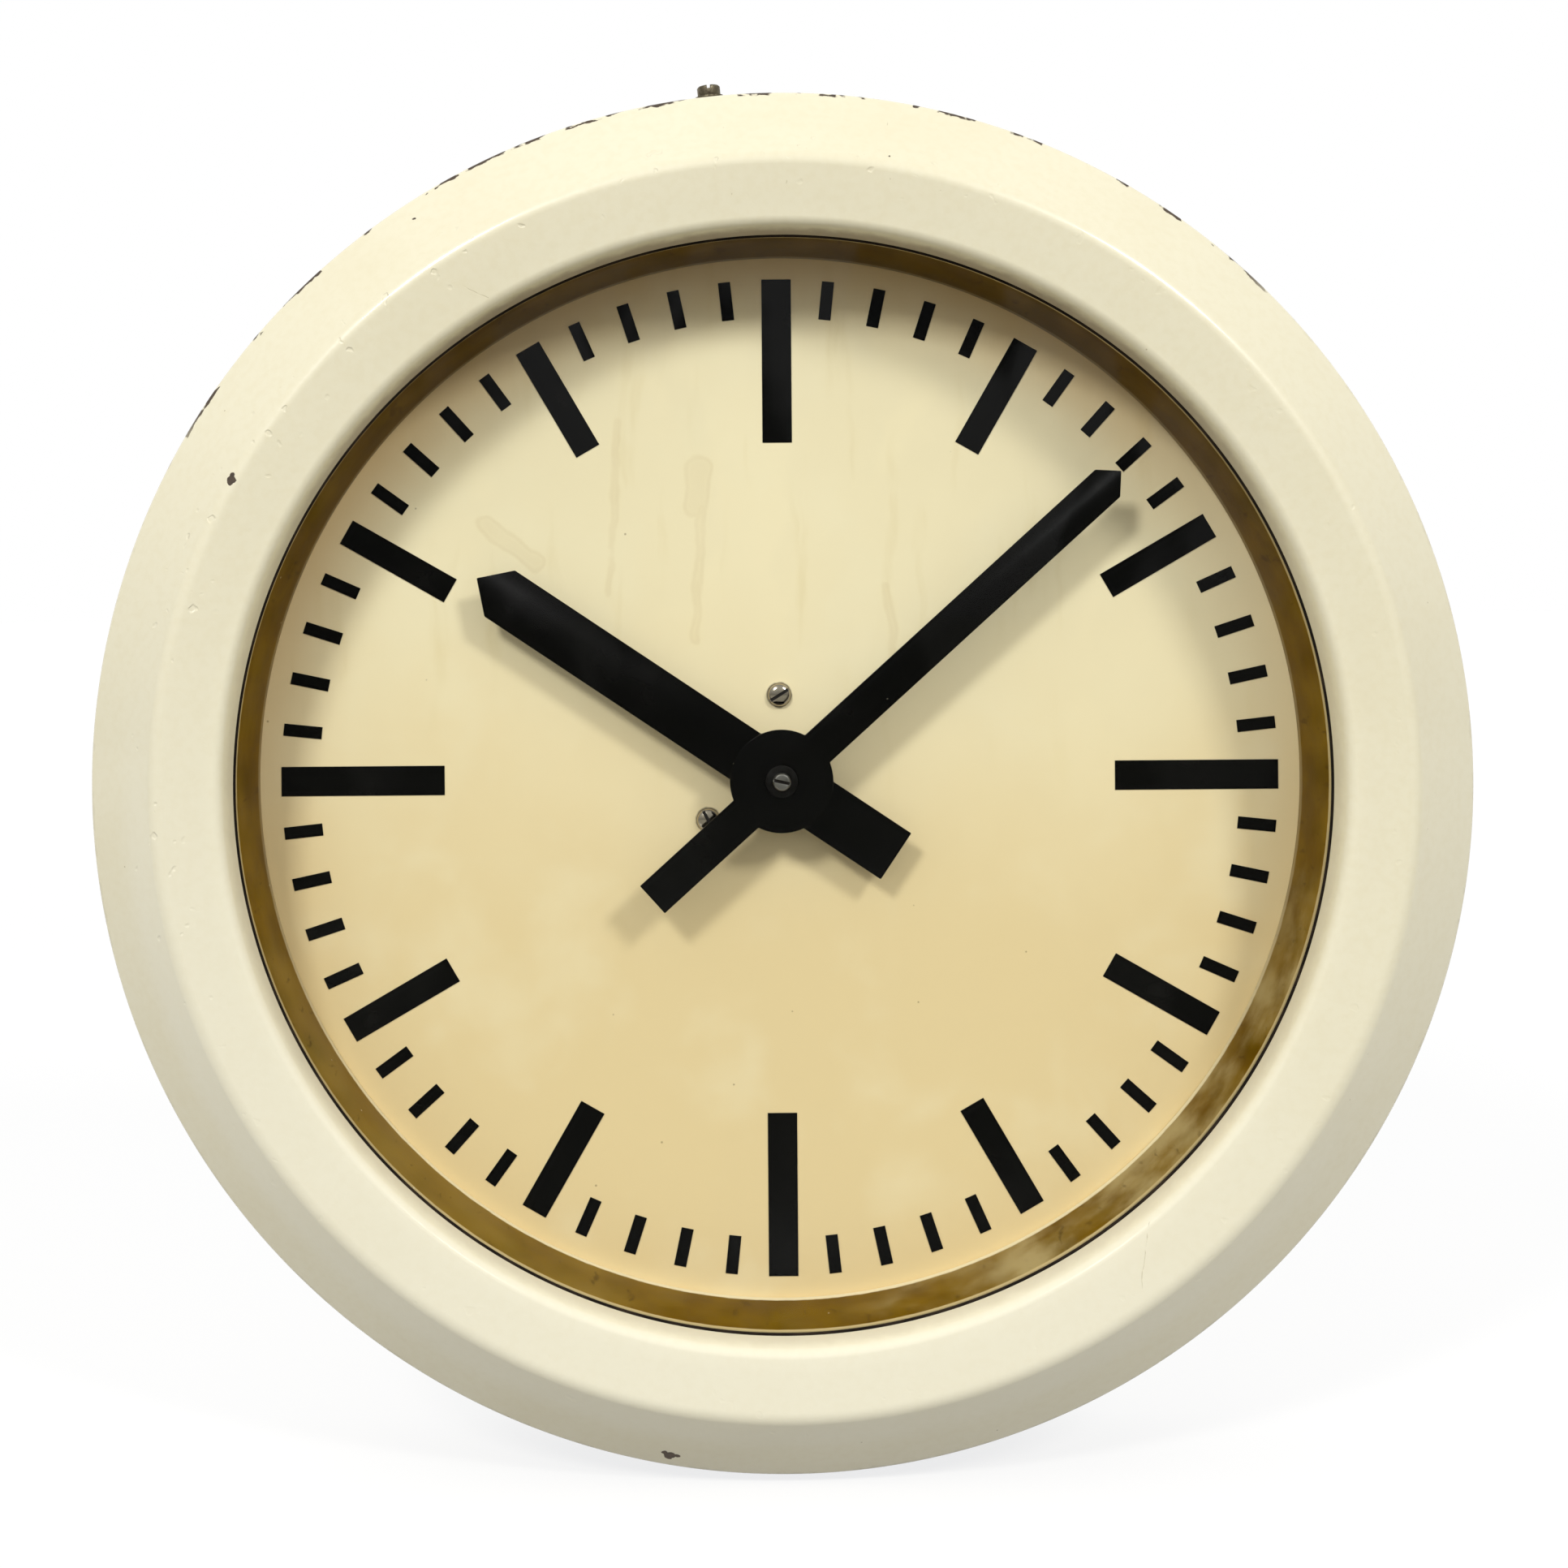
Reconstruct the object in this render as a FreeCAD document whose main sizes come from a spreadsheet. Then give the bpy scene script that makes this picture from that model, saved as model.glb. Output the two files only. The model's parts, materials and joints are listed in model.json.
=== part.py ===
"""Factory wall clock: a slave dial, driven by impulses, in a pressed steel case.

Every piece is drawn as it is seen from the front: x to the right, y up, and z towards the viewer,
counted from the wall. keep() then stands the finished piece up, so that the clock faces -Y with Z up.
Lengths are millimetres and angles are degrees.
"""
import FreeCAD, Part
import math
import os
import types

import Sketcher

Placement = FreeCAD.Placement
Rotation = FreeCAD.Rotation
Vector = FreeCAD.Vector

ACROSS = Vector(1, 0, 0)
UP = Vector(0, 1, 0)
OUT = Vector(0, 0, 1)
STAND = Rotation(ACROSS, 90)
LAY_ALONG_X = Rotation(UP, 90)
LAY_ALONG_Y = Rotation(ACROSS, -90)
FACE_BACK = Rotation(ACROSS, 180)

DIMENSIONS = {
    # Clearances and the overrun of cuts
    "seat_gap": 0.05,
    "fit_gap": 0.02,
    "running_gap": 0.05,
    "thread_gap": 0.05,
    "weld_gap": 0.15,
    "case_gap": 0.5,
    "notch_gap": 0.4,
    "washer_gap": 0.3,
    "overrun": 1,
    # Front ring: skirt, rim, crest, and the lip in front of the glass
    "case_sheet": 1.2,
    "rim_radius": 210,
    "rim_bend": 2.4,
    "skirt_length": 13,
    "shoulder_width": 22.6,
    "shoulder_rise": 19.5,
    "crest_bend": 5.5,
    "face_width": 19.6,
    "face_fall": 3.1,
    "lip_bend": 3.6,
    "lip_taper": 2.3,
    "lip_height": 9.5,
    # Rear case, its wall screws and its cable bush
    "case_setback": 3,
    "case_bend": 6,
    "wall_hole_inset": 45,
    "wall_hole_radius": 2.75,
    "wall_hole_count": 3,
    "cable_spacing": 45,
    "cable_hole_radius": 7,
    "cable_bore_radius": 4,
    "bush_flange_radius": 10,
    "bush_flange_thickness": 3,
    # Closing screw at the top of the rim
    "closing_lean": 5.6,
    "closing_setback": 7,
    "closing_shank_radius": 2,
    "closing_shank_length": 12,
    "closing_head_radius": 3.5,
    "closing_head_height": 3.2,
    "closing_washer_radius": 4.4,
    "closing_washer_thickness": 0.8,
    "closing_nut_width": 12,
    "closing_nut_height": 6,
    # Glass and what holds it
    "glass_overlap": 6,
    "glass_thickness": 3,
    "glass_room": 12,
    "lip_gap": 0.9,
    "gasket_overhang": 0.5,
    "gasket_width": 5,
    "frame_gap": 0.5,
    "frame_sheet": 1,
    "frame_inset": 4.4,
    "clip_count": 6,
    "clip_width": 14,
    "clip_reach": 4,
    "clip_thickness": 1,
    "clip_margin": 1,
    # Dial, its marks and the band around it
    "band_flange": 10.6,
    "dial_room": 2.8,
    "dial_thickness": 1.5,
    "dial_centre_hole": 6,
    "mark_margin": 6.3,
    "mark_thickness": 0.2,
    "quarter_bar_length": 51.1,
    "quarter_bar_width": 9.2,
    "hour_bar_length": 37.4,
    "hour_bar_width": 8.3,
    "minute_bar_length": 12,
    "minute_bar_width": 3.8,
    "band_taper": 3.4,
    "band_step": 0.3,
    "band_gap": 1.4,
    "band_sheet": 1,
    # Brackets at the dial's edge
    "bracket_count": 4,
    "bracket_width": 16,
    "bracket_thickness": 2,
    "bracket_leg": 20,
    "edge_screw_inset": 4.4,
    "edge_hole_inset": 5,
    # Slotted screws: the larger holds dial and movement, the smaller the rest
    "screw_radius": 2,
    "screw_head_radius": 3.5,
    "screw_head_height": 2.6,
    "small_screw_radius": 1.5,
    "small_head_radius": 2.75,
    "small_head_height": 2,
    "head_crown": 0.5,
    "slot_width": 1,
    "slot_depth": 1.1,
    "edge_screw_length": 5.5,
    "dial_screw_length": 8,
    "hand_screw_length": 6,
    "clip_screw_length": 2.6,
    "stator_screw_length": 8,
    "terminal_screw_length": 3,
    # Hands, at eight minutes past ten
    "minute_hand_angle": 48,
    "minute_hand_margin": 2.8,
    "minute_hand_tail": 53.8,
    "minute_hand_width": 11.3,
    "minute_hand_lift": 6,
    "hour_hand_angle": 304,
    "hour_hand_margin": 5.7,
    "hour_hand_tail": 42.7,
    "hour_hand_width": 17.1,
    "hour_hand_lift": 9,
    "hand_sheet": 1.2,
    "minute_hub_radius": 15.9,
    "hour_hub_radius": 15.5,
    "hour_collet_radius": 7,
    "hour_collet_height": 3.5,
    "minute_collet_radius": 5.5,
    "minute_collet_height": 3.8,
    "hand_washer_radius": 5,
    "hand_washer_thickness": 0.8,
    # Frame of the movement
    "back_plate_depth": 9.5,
    "plate_thickness": 2,
    "plate_half_width": 36,
    "plate_top": 34,
    "plate_foot": 15,
    "plate_corner": 4,
    "pillar_inset": 6,
    "pillar_radius": 3.5,
    "nut_radius": 3.2,
    "nut_height": 2.4,
    "dial_screw_circle": 26,
    "dial_post_radius": 4.5,
    "bush_radius": 4.5,
    "bush_collar_radius": 6,
    "bush_collar_height": 1.4,
    # Gear train
    "gear_module": 0.5,
    "pinion_teeth": 12,
    "centre_teeth": 72,
    "intermediate_teeth": 60,
    "cannon_teeth": 15,
    "motion_teeth": 45,
    "hour_teeth": 48,
    "pressure_angle": 25,
    "addendum_share": 0.8,
    "dedendum_share": 1,
    "tooth_play": 0.12,
    "wheel_thickness": 2,
    "pinion_length": 3,
    "intermediate_bearing": 225,
    "rotor_bearing": -34.4,
    "stud_bearing": 270,
    "end_shake": 0.3,
    "pivot_radius": 0.7,
    "arbor_radius": 1.2,
    "minute_pivot_radius": 1,
    "minute_arbor_radius": 2.5,
    "cannon_pipe_radius": 3.2,
    "hour_pipe_radius": 4.1,
    "stud_radius": 1.2,
    "stud_clip_radius": 2.3,
    "stud_clip_thickness": 0.6,
    "head_clearance": 0.9,
    "wheel_gap": 2.5,
    "cannon_gap": 0.85,
    "hour_gap": 0.9,
    # Rotor, stator and coil
    "magnet_radius": 6.5,
    "magnet_length": 4.8,
    "air_gap": 0.6,
    "pole_thickness": 6,
    "pole_half_height": 6,
    "pole_leg_offset": 20,
    "pole_leg_width": 6,
    "pole_screw_drop": 9,
    "coil_spacing": 29,
    "core_radius": 4,
    "bobbin_wall": 1,
    "bobbin_flange_radius": 11,
    "bobbin_flange_thickness": 1.5,
    "winding_radius": 10,
    # Terminals
    "lead_radius": 0.8,
    "lead_offset": 8,
    "lead_depth": 9,
    "lead_entry": 8,
    "terminal_spacing": 26,
    "terminal_width": 30,
    "terminal_height": 16,
    "terminal_depth": 12,
    "terminal_screw_inset": 6,
}
HOURS = 12
MINUTES_PER_HOUR = 5
FLANK_STEPS = 4

doc = FreeCAD.newDocument("factory_wall_clock")
nodes = []


class Size:
    """A size from the sheet: its number now, and the words that tie it to its cells."""

    def __init__(self, number, words):
        self.number = float(number)
        self.words = words

    def __add__(self, other):
        other = as_size(other)
        return Size(self.number + other.number, f"({self.words} + {other.words})")

    def __sub__(self, other):
        other = as_size(other)
        return Size(self.number - other.number, f"({self.words} - {other.words})")

    def __mul__(self, other):
        other = as_size(other)
        return Size(self.number * other.number, f"({self.words} * {other.words})")

    def __truediv__(self, other):
        other = as_size(other)
        return Size(self.number / other.number, f"({self.words} / {other.words})")

    def __neg__(self):
        return as_size(0) - self


def as_size(value):
    """A plain number as a size, or the size itself."""
    return value if isinstance(value, Size) else Size(value, f"({value})")


def cosine(angle):
    return Size(math.cos(math.radians(angle.number)), f"cos({angle.words})")


def sine(angle):
    return Size(math.sin(math.radians(angle.number)), f"sin({angle.words})")


def square_root(value):
    return Size(math.sqrt(value.number), f"sqrt({value.words})")


sheet = doc.addObject("Spreadsheet::Sheet", "dims")
size = types.SimpleNamespace()


def enter(alias, number, content):
    """Write one size on a row of its own in the sheet, where expressions and pieces can use it."""
    row = len(vars(size)) + 1
    sheet.set(f"A{row}", alias)
    sheet.set(f"B{row}", content)
    sheet.setAlias(f"B{row}", alias)
    setattr(size, alias, Size(number, f"dims.{alias}"))


def derive(alias, value):
    """Enter a size that follows from others."""
    enter(alias, value.number, "=" + value.words.replace("dims.", ""))


for name, number in DIMENSIONS.items():
    enter(name, number, str(number))


# Document helpers

def bind(thing, prop, value):
    """Tie one property of a document object to the sheet."""
    thing.setExpression(prop, as_size(value).words)


def place(thing, x=0, y=0, z=0, rotation=Rotation()):
    """Put a shape in its place in the front view."""
    thing.Placement = Placement(Vector(), rotation)
    bind(thing, "Placement.Base.x", x)
    bind(thing, "Placement.Base.y", y)
    bind(thing, "Placement.Base.z", z)
    return thing


def keep(node, *things, x=0, y=0, z=0, rotation=Rotation()):
    """Make one sub-part of the things given, name it, and stand it up in its place."""
    part = things[0]
    if len(things) > 1 or part.isDerivedFrom("Part::Primitive"):
        part = doc.addObject("Part::Compound", node)
        part.Links = list(things)
    part.Label = node
    place(part, x, -as_size(z), y, STAND * rotation)
    nodes.append(part)


def cylinder(radius, bottom, height, x=0, y=0):
    thing = doc.addObject("Part::Cylinder", "cylinder")
    bind(thing, "Radius", radius)
    bind(thing, "Height", height)
    return place(thing, x, y, bottom)


def cone(low_radius, high_radius, bottom, height):
    thing = doc.addObject("Part::Cone", "cone")
    bind(thing, "Radius1", low_radius)
    bind(thing, "Radius2", high_radius)
    bind(thing, "Height", height)
    return place(thing, z=bottom)


def block(x, y, z, length, width, height):
    """A box from its low corner."""
    thing = doc.addObject("Part::Box", "block")
    bind(thing, "Length", length)
    bind(thing, "Width", width)
    bind(thing, "Height", height)
    return place(thing, x, y, z)


def hexagon(radius, bottom, height):
    thing = doc.addObject("Part::Prism", "hexagon")
    thing.Polygon = 6
    bind(thing, "Circumradius", radius)
    bind(thing, "Height", height)
    return place(thing, z=bottom)


def fuse(*things):
    joined = doc.addObject("Part::MultiFuse", "fuse")
    joined.Shapes = list(things)
    return joined


def cut(base, *tools):
    part = doc.addObject("Part::Cut", "cut")
    part.Base = base
    part.Tool = tools[0] if len(tools) == 1 else fuse(*tools)
    return part


def bore(radius, bottom, height, x=0, y=0):
    """A cutter for a round hole through whatever lies between bottom and bottom + height."""
    return cylinder(radius, bottom - size.overrun, height + size.overrun * 2, x, y)


def tube(FRAME_OUTER, inner, bottom, height, x=0, y=0):
    return cut(cylinder(FRAME_OUTER, bottom, height, x, y), bore(inner, bottom, height, x, y))


def slotted_screw(radius, length, head_radius, head_height, seat=0):
    """A cheese head screw along z, whose head sits on the depth given."""
    seat = as_size(seat)
    shank = cylinder(radius, seat - length, length)
    head = cylinder(head_radius, seat, head_height - size.head_crown)
    crown_seat = seat + head_height - size.head_crown
    crown = cone(head_radius, head_radius - size.head_crown, crown_seat, size.head_crown)
    slot_bottom = seat + head_height - size.slot_depth
    slot_length = (head_radius + size.overrun) * 2
    slot = block(-slot_length / 2, -size.slot_width / 2, slot_bottom,
                 slot_length, size.slot_width, size.slot_depth + size.overrun)
    return cut(fuse(shank, head, crown), slot)


def around(radius, angle):
    """The place at that radius and angle, anticlockwise from x."""
    angle = as_size(angle)
    return radius * cosine(angle), radius * sine(angle)


def turned(angle):
    return Rotation(OUT, as_size(angle).number)


# Bodies and sketches

def origin_plane(body, role):
    return next(item for item in body.Origin.OriginFeatures if item.Role == role)


def new_body(node):
    return doc.addObject("PartDesign::Body", node)


def new_sketch(body, name, role, lift=0, turn=0):
    """A sketch on one of the body's own planes, lifted off it, or turned about its upright axis."""
    sketch = body.newObject("Sketcher::SketchObject", name)
    sketch.AttachmentSupport = (origin_plane(body, role), [""])
    sketch.MapMode = "FlatFace"
    sketch.AttachmentOffset = Placement(Vector(), Rotation(UP, as_size(turn).number))
    bind(sketch, "AttachmentOffset.Base.z", lift)
    return sketch


def hold(sketch, kind, line, point, value):
    """Hold one coordinate of a sketch point at a size from the sheet."""
    value = as_size(value)
    if value.number == 0:
        axis = -2 if kind == "DistanceX" else -1
        sketch.addConstraint(Sketcher.Constraint("PointOnObject", line, point, axis))
        return
    index = sketch.addConstraint(Sketcher.Constraint(kind, -1, 1, line, point, value.number))
    bind(sketch, f"Constraints[{index}]", value)


def draw_loop(sketch, points):
    """Draw a closed loop of straight lines and join their ends."""
    ends = points[1:] + points[:1]
    for start, end in zip(points, ends):
        sketch.addGeometry(Part.LineSegment(Vector(*start, 0), Vector(*end, 0)), False)
    for line in range(len(points)):
        sketch.addConstraint(Sketcher.Constraint("Coincident", line, 2, (line + 1) % len(points), 1))


def draw_outline(sketch, corners):
    """Draw a closed outline whose corners are all sizes from the sheet."""
    corners = [(as_size(x), as_size(y)) for x, y in corners]
    draw_loop(sketch, [(x.number, y.number) for x, y in corners])
    for line, (x, y) in enumerate(corners):
        hold(sketch, "DistanceX", line, 1, x)
        hold(sketch, "DistanceY", line, 1, y)


def draw_circle(sketch, radius, x=0, y=0):
    x, y = as_size(x), as_size(y)
    circle = sketch.addGeometry(Part.Circle(Vector(x.number, y.number, 0), OUT, radius.number), False)
    index = sketch.addConstraint(Sketcher.Constraint("Radius", circle, radius.number))
    bind(sketch, f"Constraints[{index}]", radius)
    hold(sketch, "DistanceX", circle, 3, x)
    hold(sketch, "DistanceY", circle, 3, y)


def pad(body, sketch, length):
    feature = body.newObject("PartDesign::Pad", "pad")
    feature.Profile = sketch
    bind(feature, "Length", length)
    doc.recompute()
    return feature


def revolve(body, sketch):
    feature = body.newObject("PartDesign::Revolution", "revolution")
    feature.Profile = sketch
    feature.ReferenceAxis = (sketch, ["V_Axis"])
    feature.Angle = 360
    doc.recompute()
    return feature


def pocket(body, sketch):
    """Cut through everything behind the sketch, and see that something was cut."""
    before = body.Shape.Volume
    feature = body.newObject("PartDesign::Pocket", "pocket")
    feature.Profile = sketch
    feature.Type = "ThroughAll"
    doc.recompute()
    if body.Shape.Volume >= before:
        raise ValueError(f"{sketch.Label} of {body.Label} cuts nothing")
    return feature


def drill(body, depth, spots):
    """Drill round holes, given as (radius, x, y), back from the depth given."""
    sketch = new_sketch(body, "holes", "XY_Plane", depth)
    for radius, x, y in spots:
        draw_circle(sketch, radius, x, y)
    doc.recompute()
    return pocket(body, sketch)


def repeat(body, feature, count):
    """Repeat a cut evenly around the clock's axis."""
    pattern = body.newObject("PartDesign::PolarPattern", "pattern")
    pattern.Originals = [feature]
    pattern.Axis = (origin_plane(body, "Z_Axis"), [""])
    pattern.Angle = 360
    bind(pattern, "Occurrences", count)
    body.Tip = pattern
    doc.recompute()


def inner_corners(corners, thickness):
    """Where the far skin of a sheet lies, to its left as the corners run."""
    normals = []
    for (x0, y0), (x1, y1) in zip(corners, corners[1:]):
        length = math.hypot(x1 - x0, y1 - y0)
        normals.append(Vector((y0 - y1) / length, (x1 - x0) / length, 0))
    offsets = []
    for before, after in zip(normals[:1] + normals, normals + normals[-1:]):
        offsets.append((before + after) * (thickness / (1 + before.dot(after))))
    return [(x + offset.x, y + offset.y) for (x, y), offset in zip(corners, offsets)]


def round_edge(body, corner, radius):
    """Round the edge that a turned body has at that radius and depth."""
    base = body.Tip
    names = []
    for number, edge in enumerate(base.Shape.Edges, 1):
        curve = edge.Curve
        if isinstance(curve, Part.Circle):
            offset = math.hypot(curve.Radius - corner[0], curve.Center.z - corner[1])
            if offset < size.seat_gap.number:
                names.append(f"Edge{number}")
    feature = body.newObject("PartDesign::Fillet", "bend")
    feature.Base = (base, names)
    bind(feature, "Radius", radius)
    doc.recompute()


def sheet_body(node, corners, thickness, bends):
    """A turned sheet metal piece: one skin's corners as (radius, depth), the other skin to its left.

    bends gives the radius, on the skin drawn, of each corner that is bent round.
    """
    body = new_body(node)
    sketch = new_sketch(body, "section", "XZ_Plane")
    corners = [(as_size(radius), as_size(depth)) for radius, depth in corners]
    near = [(radius.number, depth.number) for radius, depth in corners]
    far = inner_corners(near, thickness.number)
    draw_loop(sketch, near + far[::-1])
    last = len(corners) - 1
    for line, (radius, depth) in enumerate(corners):
        hold(sketch, "DistanceX", line, 1, radius)
        hold(sketch, "DistanceY", line, 1, depth)
    for line in range(last):
        twin = 2 * last - line
        sketch.addConstraint(Sketcher.Constraint("Parallel", line, twin))
        index = sketch.addConstraint(Sketcher.Constraint("Distance", twin, 1, line, thickness.number))
        bind(sketch, f"Constraints[{index}]", thickness)
    sketch.addConstraint(Sketcher.Constraint("Perpendicular", last - 1, last))
    sketch.addConstraint(Sketcher.Constraint("Perpendicular", 0, 2 * last + 1))
    doc.recompute()
    revolve(body, sketch)
    for index, bend in bends.items():
        round_edge(body, near[index], bend)
        round_edge(body, far[index], bend - thickness)
    return body


def gear(node, teeth, bottom, length, hole, x=0, y=0, turn=0.0):
    """A gear with stub involute teeth, the first of them at the angle given."""
    module = size.gear_module.number
    count = round(teeth.number)
    pitch = count * module / 2
    lean = math.radians(size.pressure_angle.number)
    base = pitch * math.cos(lean)
    tip = pitch + size.addendum_share.number * module
    root = pitch - size.dedendum_share.number * module

    def involute(radius):
        angle = math.acos(base / radius)
        return math.tan(angle) - angle

    half_pitch = (math.pi * module - size.tooth_play.number) / (4 * pitch)
    start = max(base, root)
    radii = [start + (tip - start) * step / FLANK_STEPS for step in range(FLANK_STEPS + 1)]
    flank = [(radius, half_pitch + involute(pitch) - involute(radius)) for radius in radii]
    if root < base:
        flank.insert(0, (root, flank[0][1]))
    points = []
    for tooth in range(count):
        middle = 2 * math.pi * tooth / count
        sides = [(radius, middle - half) for radius, half in flank]
        sides += [(radius, middle + half) for radius, half in reversed(flank)]
        points += [Vector(radius * math.cos(angle), radius * math.sin(angle), 0) for radius, angle in sides]
    blank = Part.Face(Part.makePolygon(points + points[:1])).extrude(OUT * length.number)
    hole_cutter = Part.makeCylinder(hole.number, length.number)
    wheel = doc.addObject("Part::Feature", node)
    wheel.Shape = blank.cut(hole_cutter)
    keep(node, wheel, x=x, y=y, z=bottom, rotation=Rotation(OUT, turn))


def mesh_turn(turn, teeth, mate_teeth, bearing):
    """The turn that puts a gap of the mate, which lies at that bearing, around a tooth of this gear."""
    pitch, mate_pitch = 360 / teeth.number, 360 / mate_teeth.number
    share = (bearing.number - turn) / pitch
    return bearing.number + 180 - mate_pitch * (0.5 - share)


# Sizes that follow from others: places in the movement's plane, from the centre downwards

INTERMEDIATE_REACH = (size.centre_teeth + size.pinion_teeth) * size.gear_module / 2
ROTOR_REACH = (size.intermediate_teeth + size.pinion_teeth) * size.gear_module / 2
STUD_REACH = (size.cannon_teeth + size.motion_teeth) * size.gear_module / 2
INTERMEDIATE_X, INTERMEDIATE_Y = around(INTERMEDIATE_REACH, size.intermediate_bearing)
ROTOR_STEP_X, ROTOR_STEP_Y = around(ROTOR_REACH, size.rotor_bearing)
ROTOR_X = INTERMEDIATE_X + ROTOR_STEP_X
ROTOR_Y = INTERMEDIATE_Y + ROTOR_STEP_Y
STUD_X, STUD_Y = around(STUD_REACH, size.stud_bearing)
derive("rotor_drop", -ROTOR_Y)
derive("plate_bottom", size.rotor_drop + size.plate_foot)
derive("coil_drop", size.rotor_drop + size.coil_spacing)
derive("terminal_top_drop", size.coil_drop + size.terminal_spacing)
derive("cable_drop", size.terminal_top_drop + size.cable_spacing)

# Depths, from the back plate forwards to the glass and the crest, then back to the rim

PLATE_BACK = size.back_plate_depth + size.plate_thickness
POLE_BOTTOM = PLATE_BACK + size.seat_gap
POLE_SCREW_TOP = POLE_BOTTOM + size.pole_thickness + size.seat_gap + size.small_head_height
COIL_DEPTH = POLE_BOTTOM + size.pole_thickness / 2
COIL_HALF = size.pole_leg_offset - size.seat_gap
derive("second_mesh_depth", POLE_SCREW_TOP + size.head_clearance)
derive("first_mesh_depth", size.second_mesh_depth + size.wheel_thickness + size.wheel_gap)
derive("front_plate_depth", size.first_mesh_depth + size.wheel_thickness + size.wheel_gap)
PLATE_FRONT = size.front_plate_depth + size.plate_thickness
derive("cannon_mesh_depth", PLATE_FRONT + size.seat_gap + size.bush_collar_height + size.cannon_gap)
derive("hour_mesh_depth", size.cannon_mesh_depth + size.wheel_thickness + size.hour_gap)
derive("dial_back_depth", size.hour_mesh_depth + size.wheel_thickness + size.dial_room)
derive("dial_front_depth", size.dial_back_depth + size.dial_thickness)
derive("hour_hand_depth", size.dial_front_depth + size.hour_hand_lift)
derive("minute_hand_depth", size.hour_hand_depth + size.minute_hand_lift)
HAND_TOP = size.minute_hand_depth + size.hand_sheet
derive("glass_back_depth", size.minute_hand_depth + size.glass_room)
GLASS_FRONT = size.glass_back_depth + size.glass_thickness
FRAME_REAR = size.glass_back_depth - size.seat_gap
derive("band_front_depth", size.glass_back_depth - size.band_gap)
derive("lip_end_depth", GLASS_FRONT + size.lip_gap)
derive("lip_corner_depth", size.lip_end_depth + size.lip_height)
derive("crest_depth", size.lip_corner_depth + size.face_fall)
derive("rim_depth", size.crest_depth - size.shoulder_rise)
derive("skirt_rear_depth", size.rim_depth - size.skirt_length)
derive("case_front_depth", size.rim_depth - size.case_setback)
derive("closing_depth", size.rim_depth - size.closing_setback)

# Radii, from the rim inwards

CASE_OUTER = size.rim_radius - size.case_sheet - size.case_gap
CASE_INNER = CASE_OUTER - size.case_sheet
derive("wall_hole_circle", size.rim_radius - size.wall_hole_inset)
derive("crest_radius", size.rim_radius - size.shoulder_width)
derive("lip_corner_radius", size.crest_radius - size.face_width)
derive("lip_end_radius", size.lip_corner_radius - size.lip_taper)
derive("gasket_inner_radius", size.lip_end_radius - size.gasket_overhang)
derive("gasket_outer_radius", size.gasket_inner_radius + size.gasket_width)
derive("glass_radius", size.lip_end_radius + size.glass_overlap)
FRAME_INNER = size.glass_radius + size.frame_gap
FRAME_OUTER = size.crest_radius - size.frame_inset
CLIP_SPOT = (FRAME_INNER + size.frame_sheet + FRAME_OUTER) / 2
derive("band_front_radius", size.lip_end_radius + size.band_step)
derive("band_dial_radius", size.band_front_radius - size.band_taper)
derive("dial_radius", size.band_dial_radius + size.band_flange)
derive("edge_screw_circle", size.dial_radius - size.edge_screw_inset)
derive("mark_outer_radius", size.band_dial_radius - size.mark_margin)
derive("minute_hand_length", size.mark_outer_radius - size.minute_bar_length - size.minute_hand_margin)
derive("hour_hand_length", size.mark_outer_radius - size.hour_bar_length - size.hour_hand_margin)
doc.recompute()

# Places that several pieces share

BRACKET_ANGLES = [45 + 360 * k / DIMENSIONS["bracket_count"] for k in range(DIMENSIONS["bracket_count"])]
CLIP_ANGLES = [360 * k / DIMENSIONS["clip_count"] for k in range(DIMENSIONS["clip_count"])]
DIAL_SCREW_ANGLES = [90, 210, 330]
PILLAR_X = size.plate_half_width - size.pillar_inset
PILLAR_SPOTS = [(x, y) for x in (PILLAR_X, -PILLAR_X)
                for y in (size.plate_top - size.pillar_inset, size.pillar_inset - size.plate_bottom)]


# Case and front ring

def front_ring():
    corners = [
        (size.rim_radius, size.skirt_rear_depth),
        (size.rim_radius, size.rim_depth),
        (size.crest_radius, size.crest_depth),
        (size.lip_corner_radius, size.lip_corner_depth),
        (size.lip_end_radius, size.lip_end_depth),
    ]
    body = sheet_body("front_ring", corners, size.case_sheet,
                      {1: size.rim_bend, 2: size.crest_bend, 3: size.lip_bend})
    notch = new_sketch(body, "notch", "XZ_Plane", turn=size.closing_lean)
    half = size.closing_shank_radius + size.notch_gap
    rear = size.skirt_rear_depth - size.overrun
    front = size.closing_depth + half
    draw_outline(notch, [(-half, rear), (half, rear), (half, front), (-half, front)])
    doc.recompute()
    pocket(body, notch)
    keep("front_ring", body)


def rear_case():
    corners = [(0, 0), (CASE_OUTER, 0), (CASE_OUTER, size.case_front_depth)]
    body = sheet_body("rear_case", corners, size.case_sheet, {1: size.case_bend})
    drill(body, size.case_sheet, [(size.cable_hole_radius, 0, -size.cable_drop)])
    hole = new_sketch(body, "closing_hole", "XZ_Plane", turn=size.closing_lean)
    draw_circle(hole, size.closing_shank_radius + size.notch_gap, 0, size.closing_depth)
    doc.recompute()
    pocket(body, hole)
    wall_hole = drill(body, size.case_sheet, [(size.wall_hole_radius, 0, size.wall_hole_circle)])
    repeat(body, wall_hole, size.wall_hole_count)
    keep("rear_case", body)


def cable_bush():
    flange_seat = size.case_sheet + size.seat_gap
    neck = cylinder(size.cable_hole_radius - size.seat_gap, 0, flange_seat)
    flange = cylinder(size.bush_flange_radius, flange_seat, size.bush_flange_thickness)
    hole = bore(size.cable_bore_radius, as_size(0), flange_seat + size.bush_flange_thickness)
    keep("cable_bush", cut(fuse(neck, flange), hole), y=-size.cable_drop)


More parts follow.
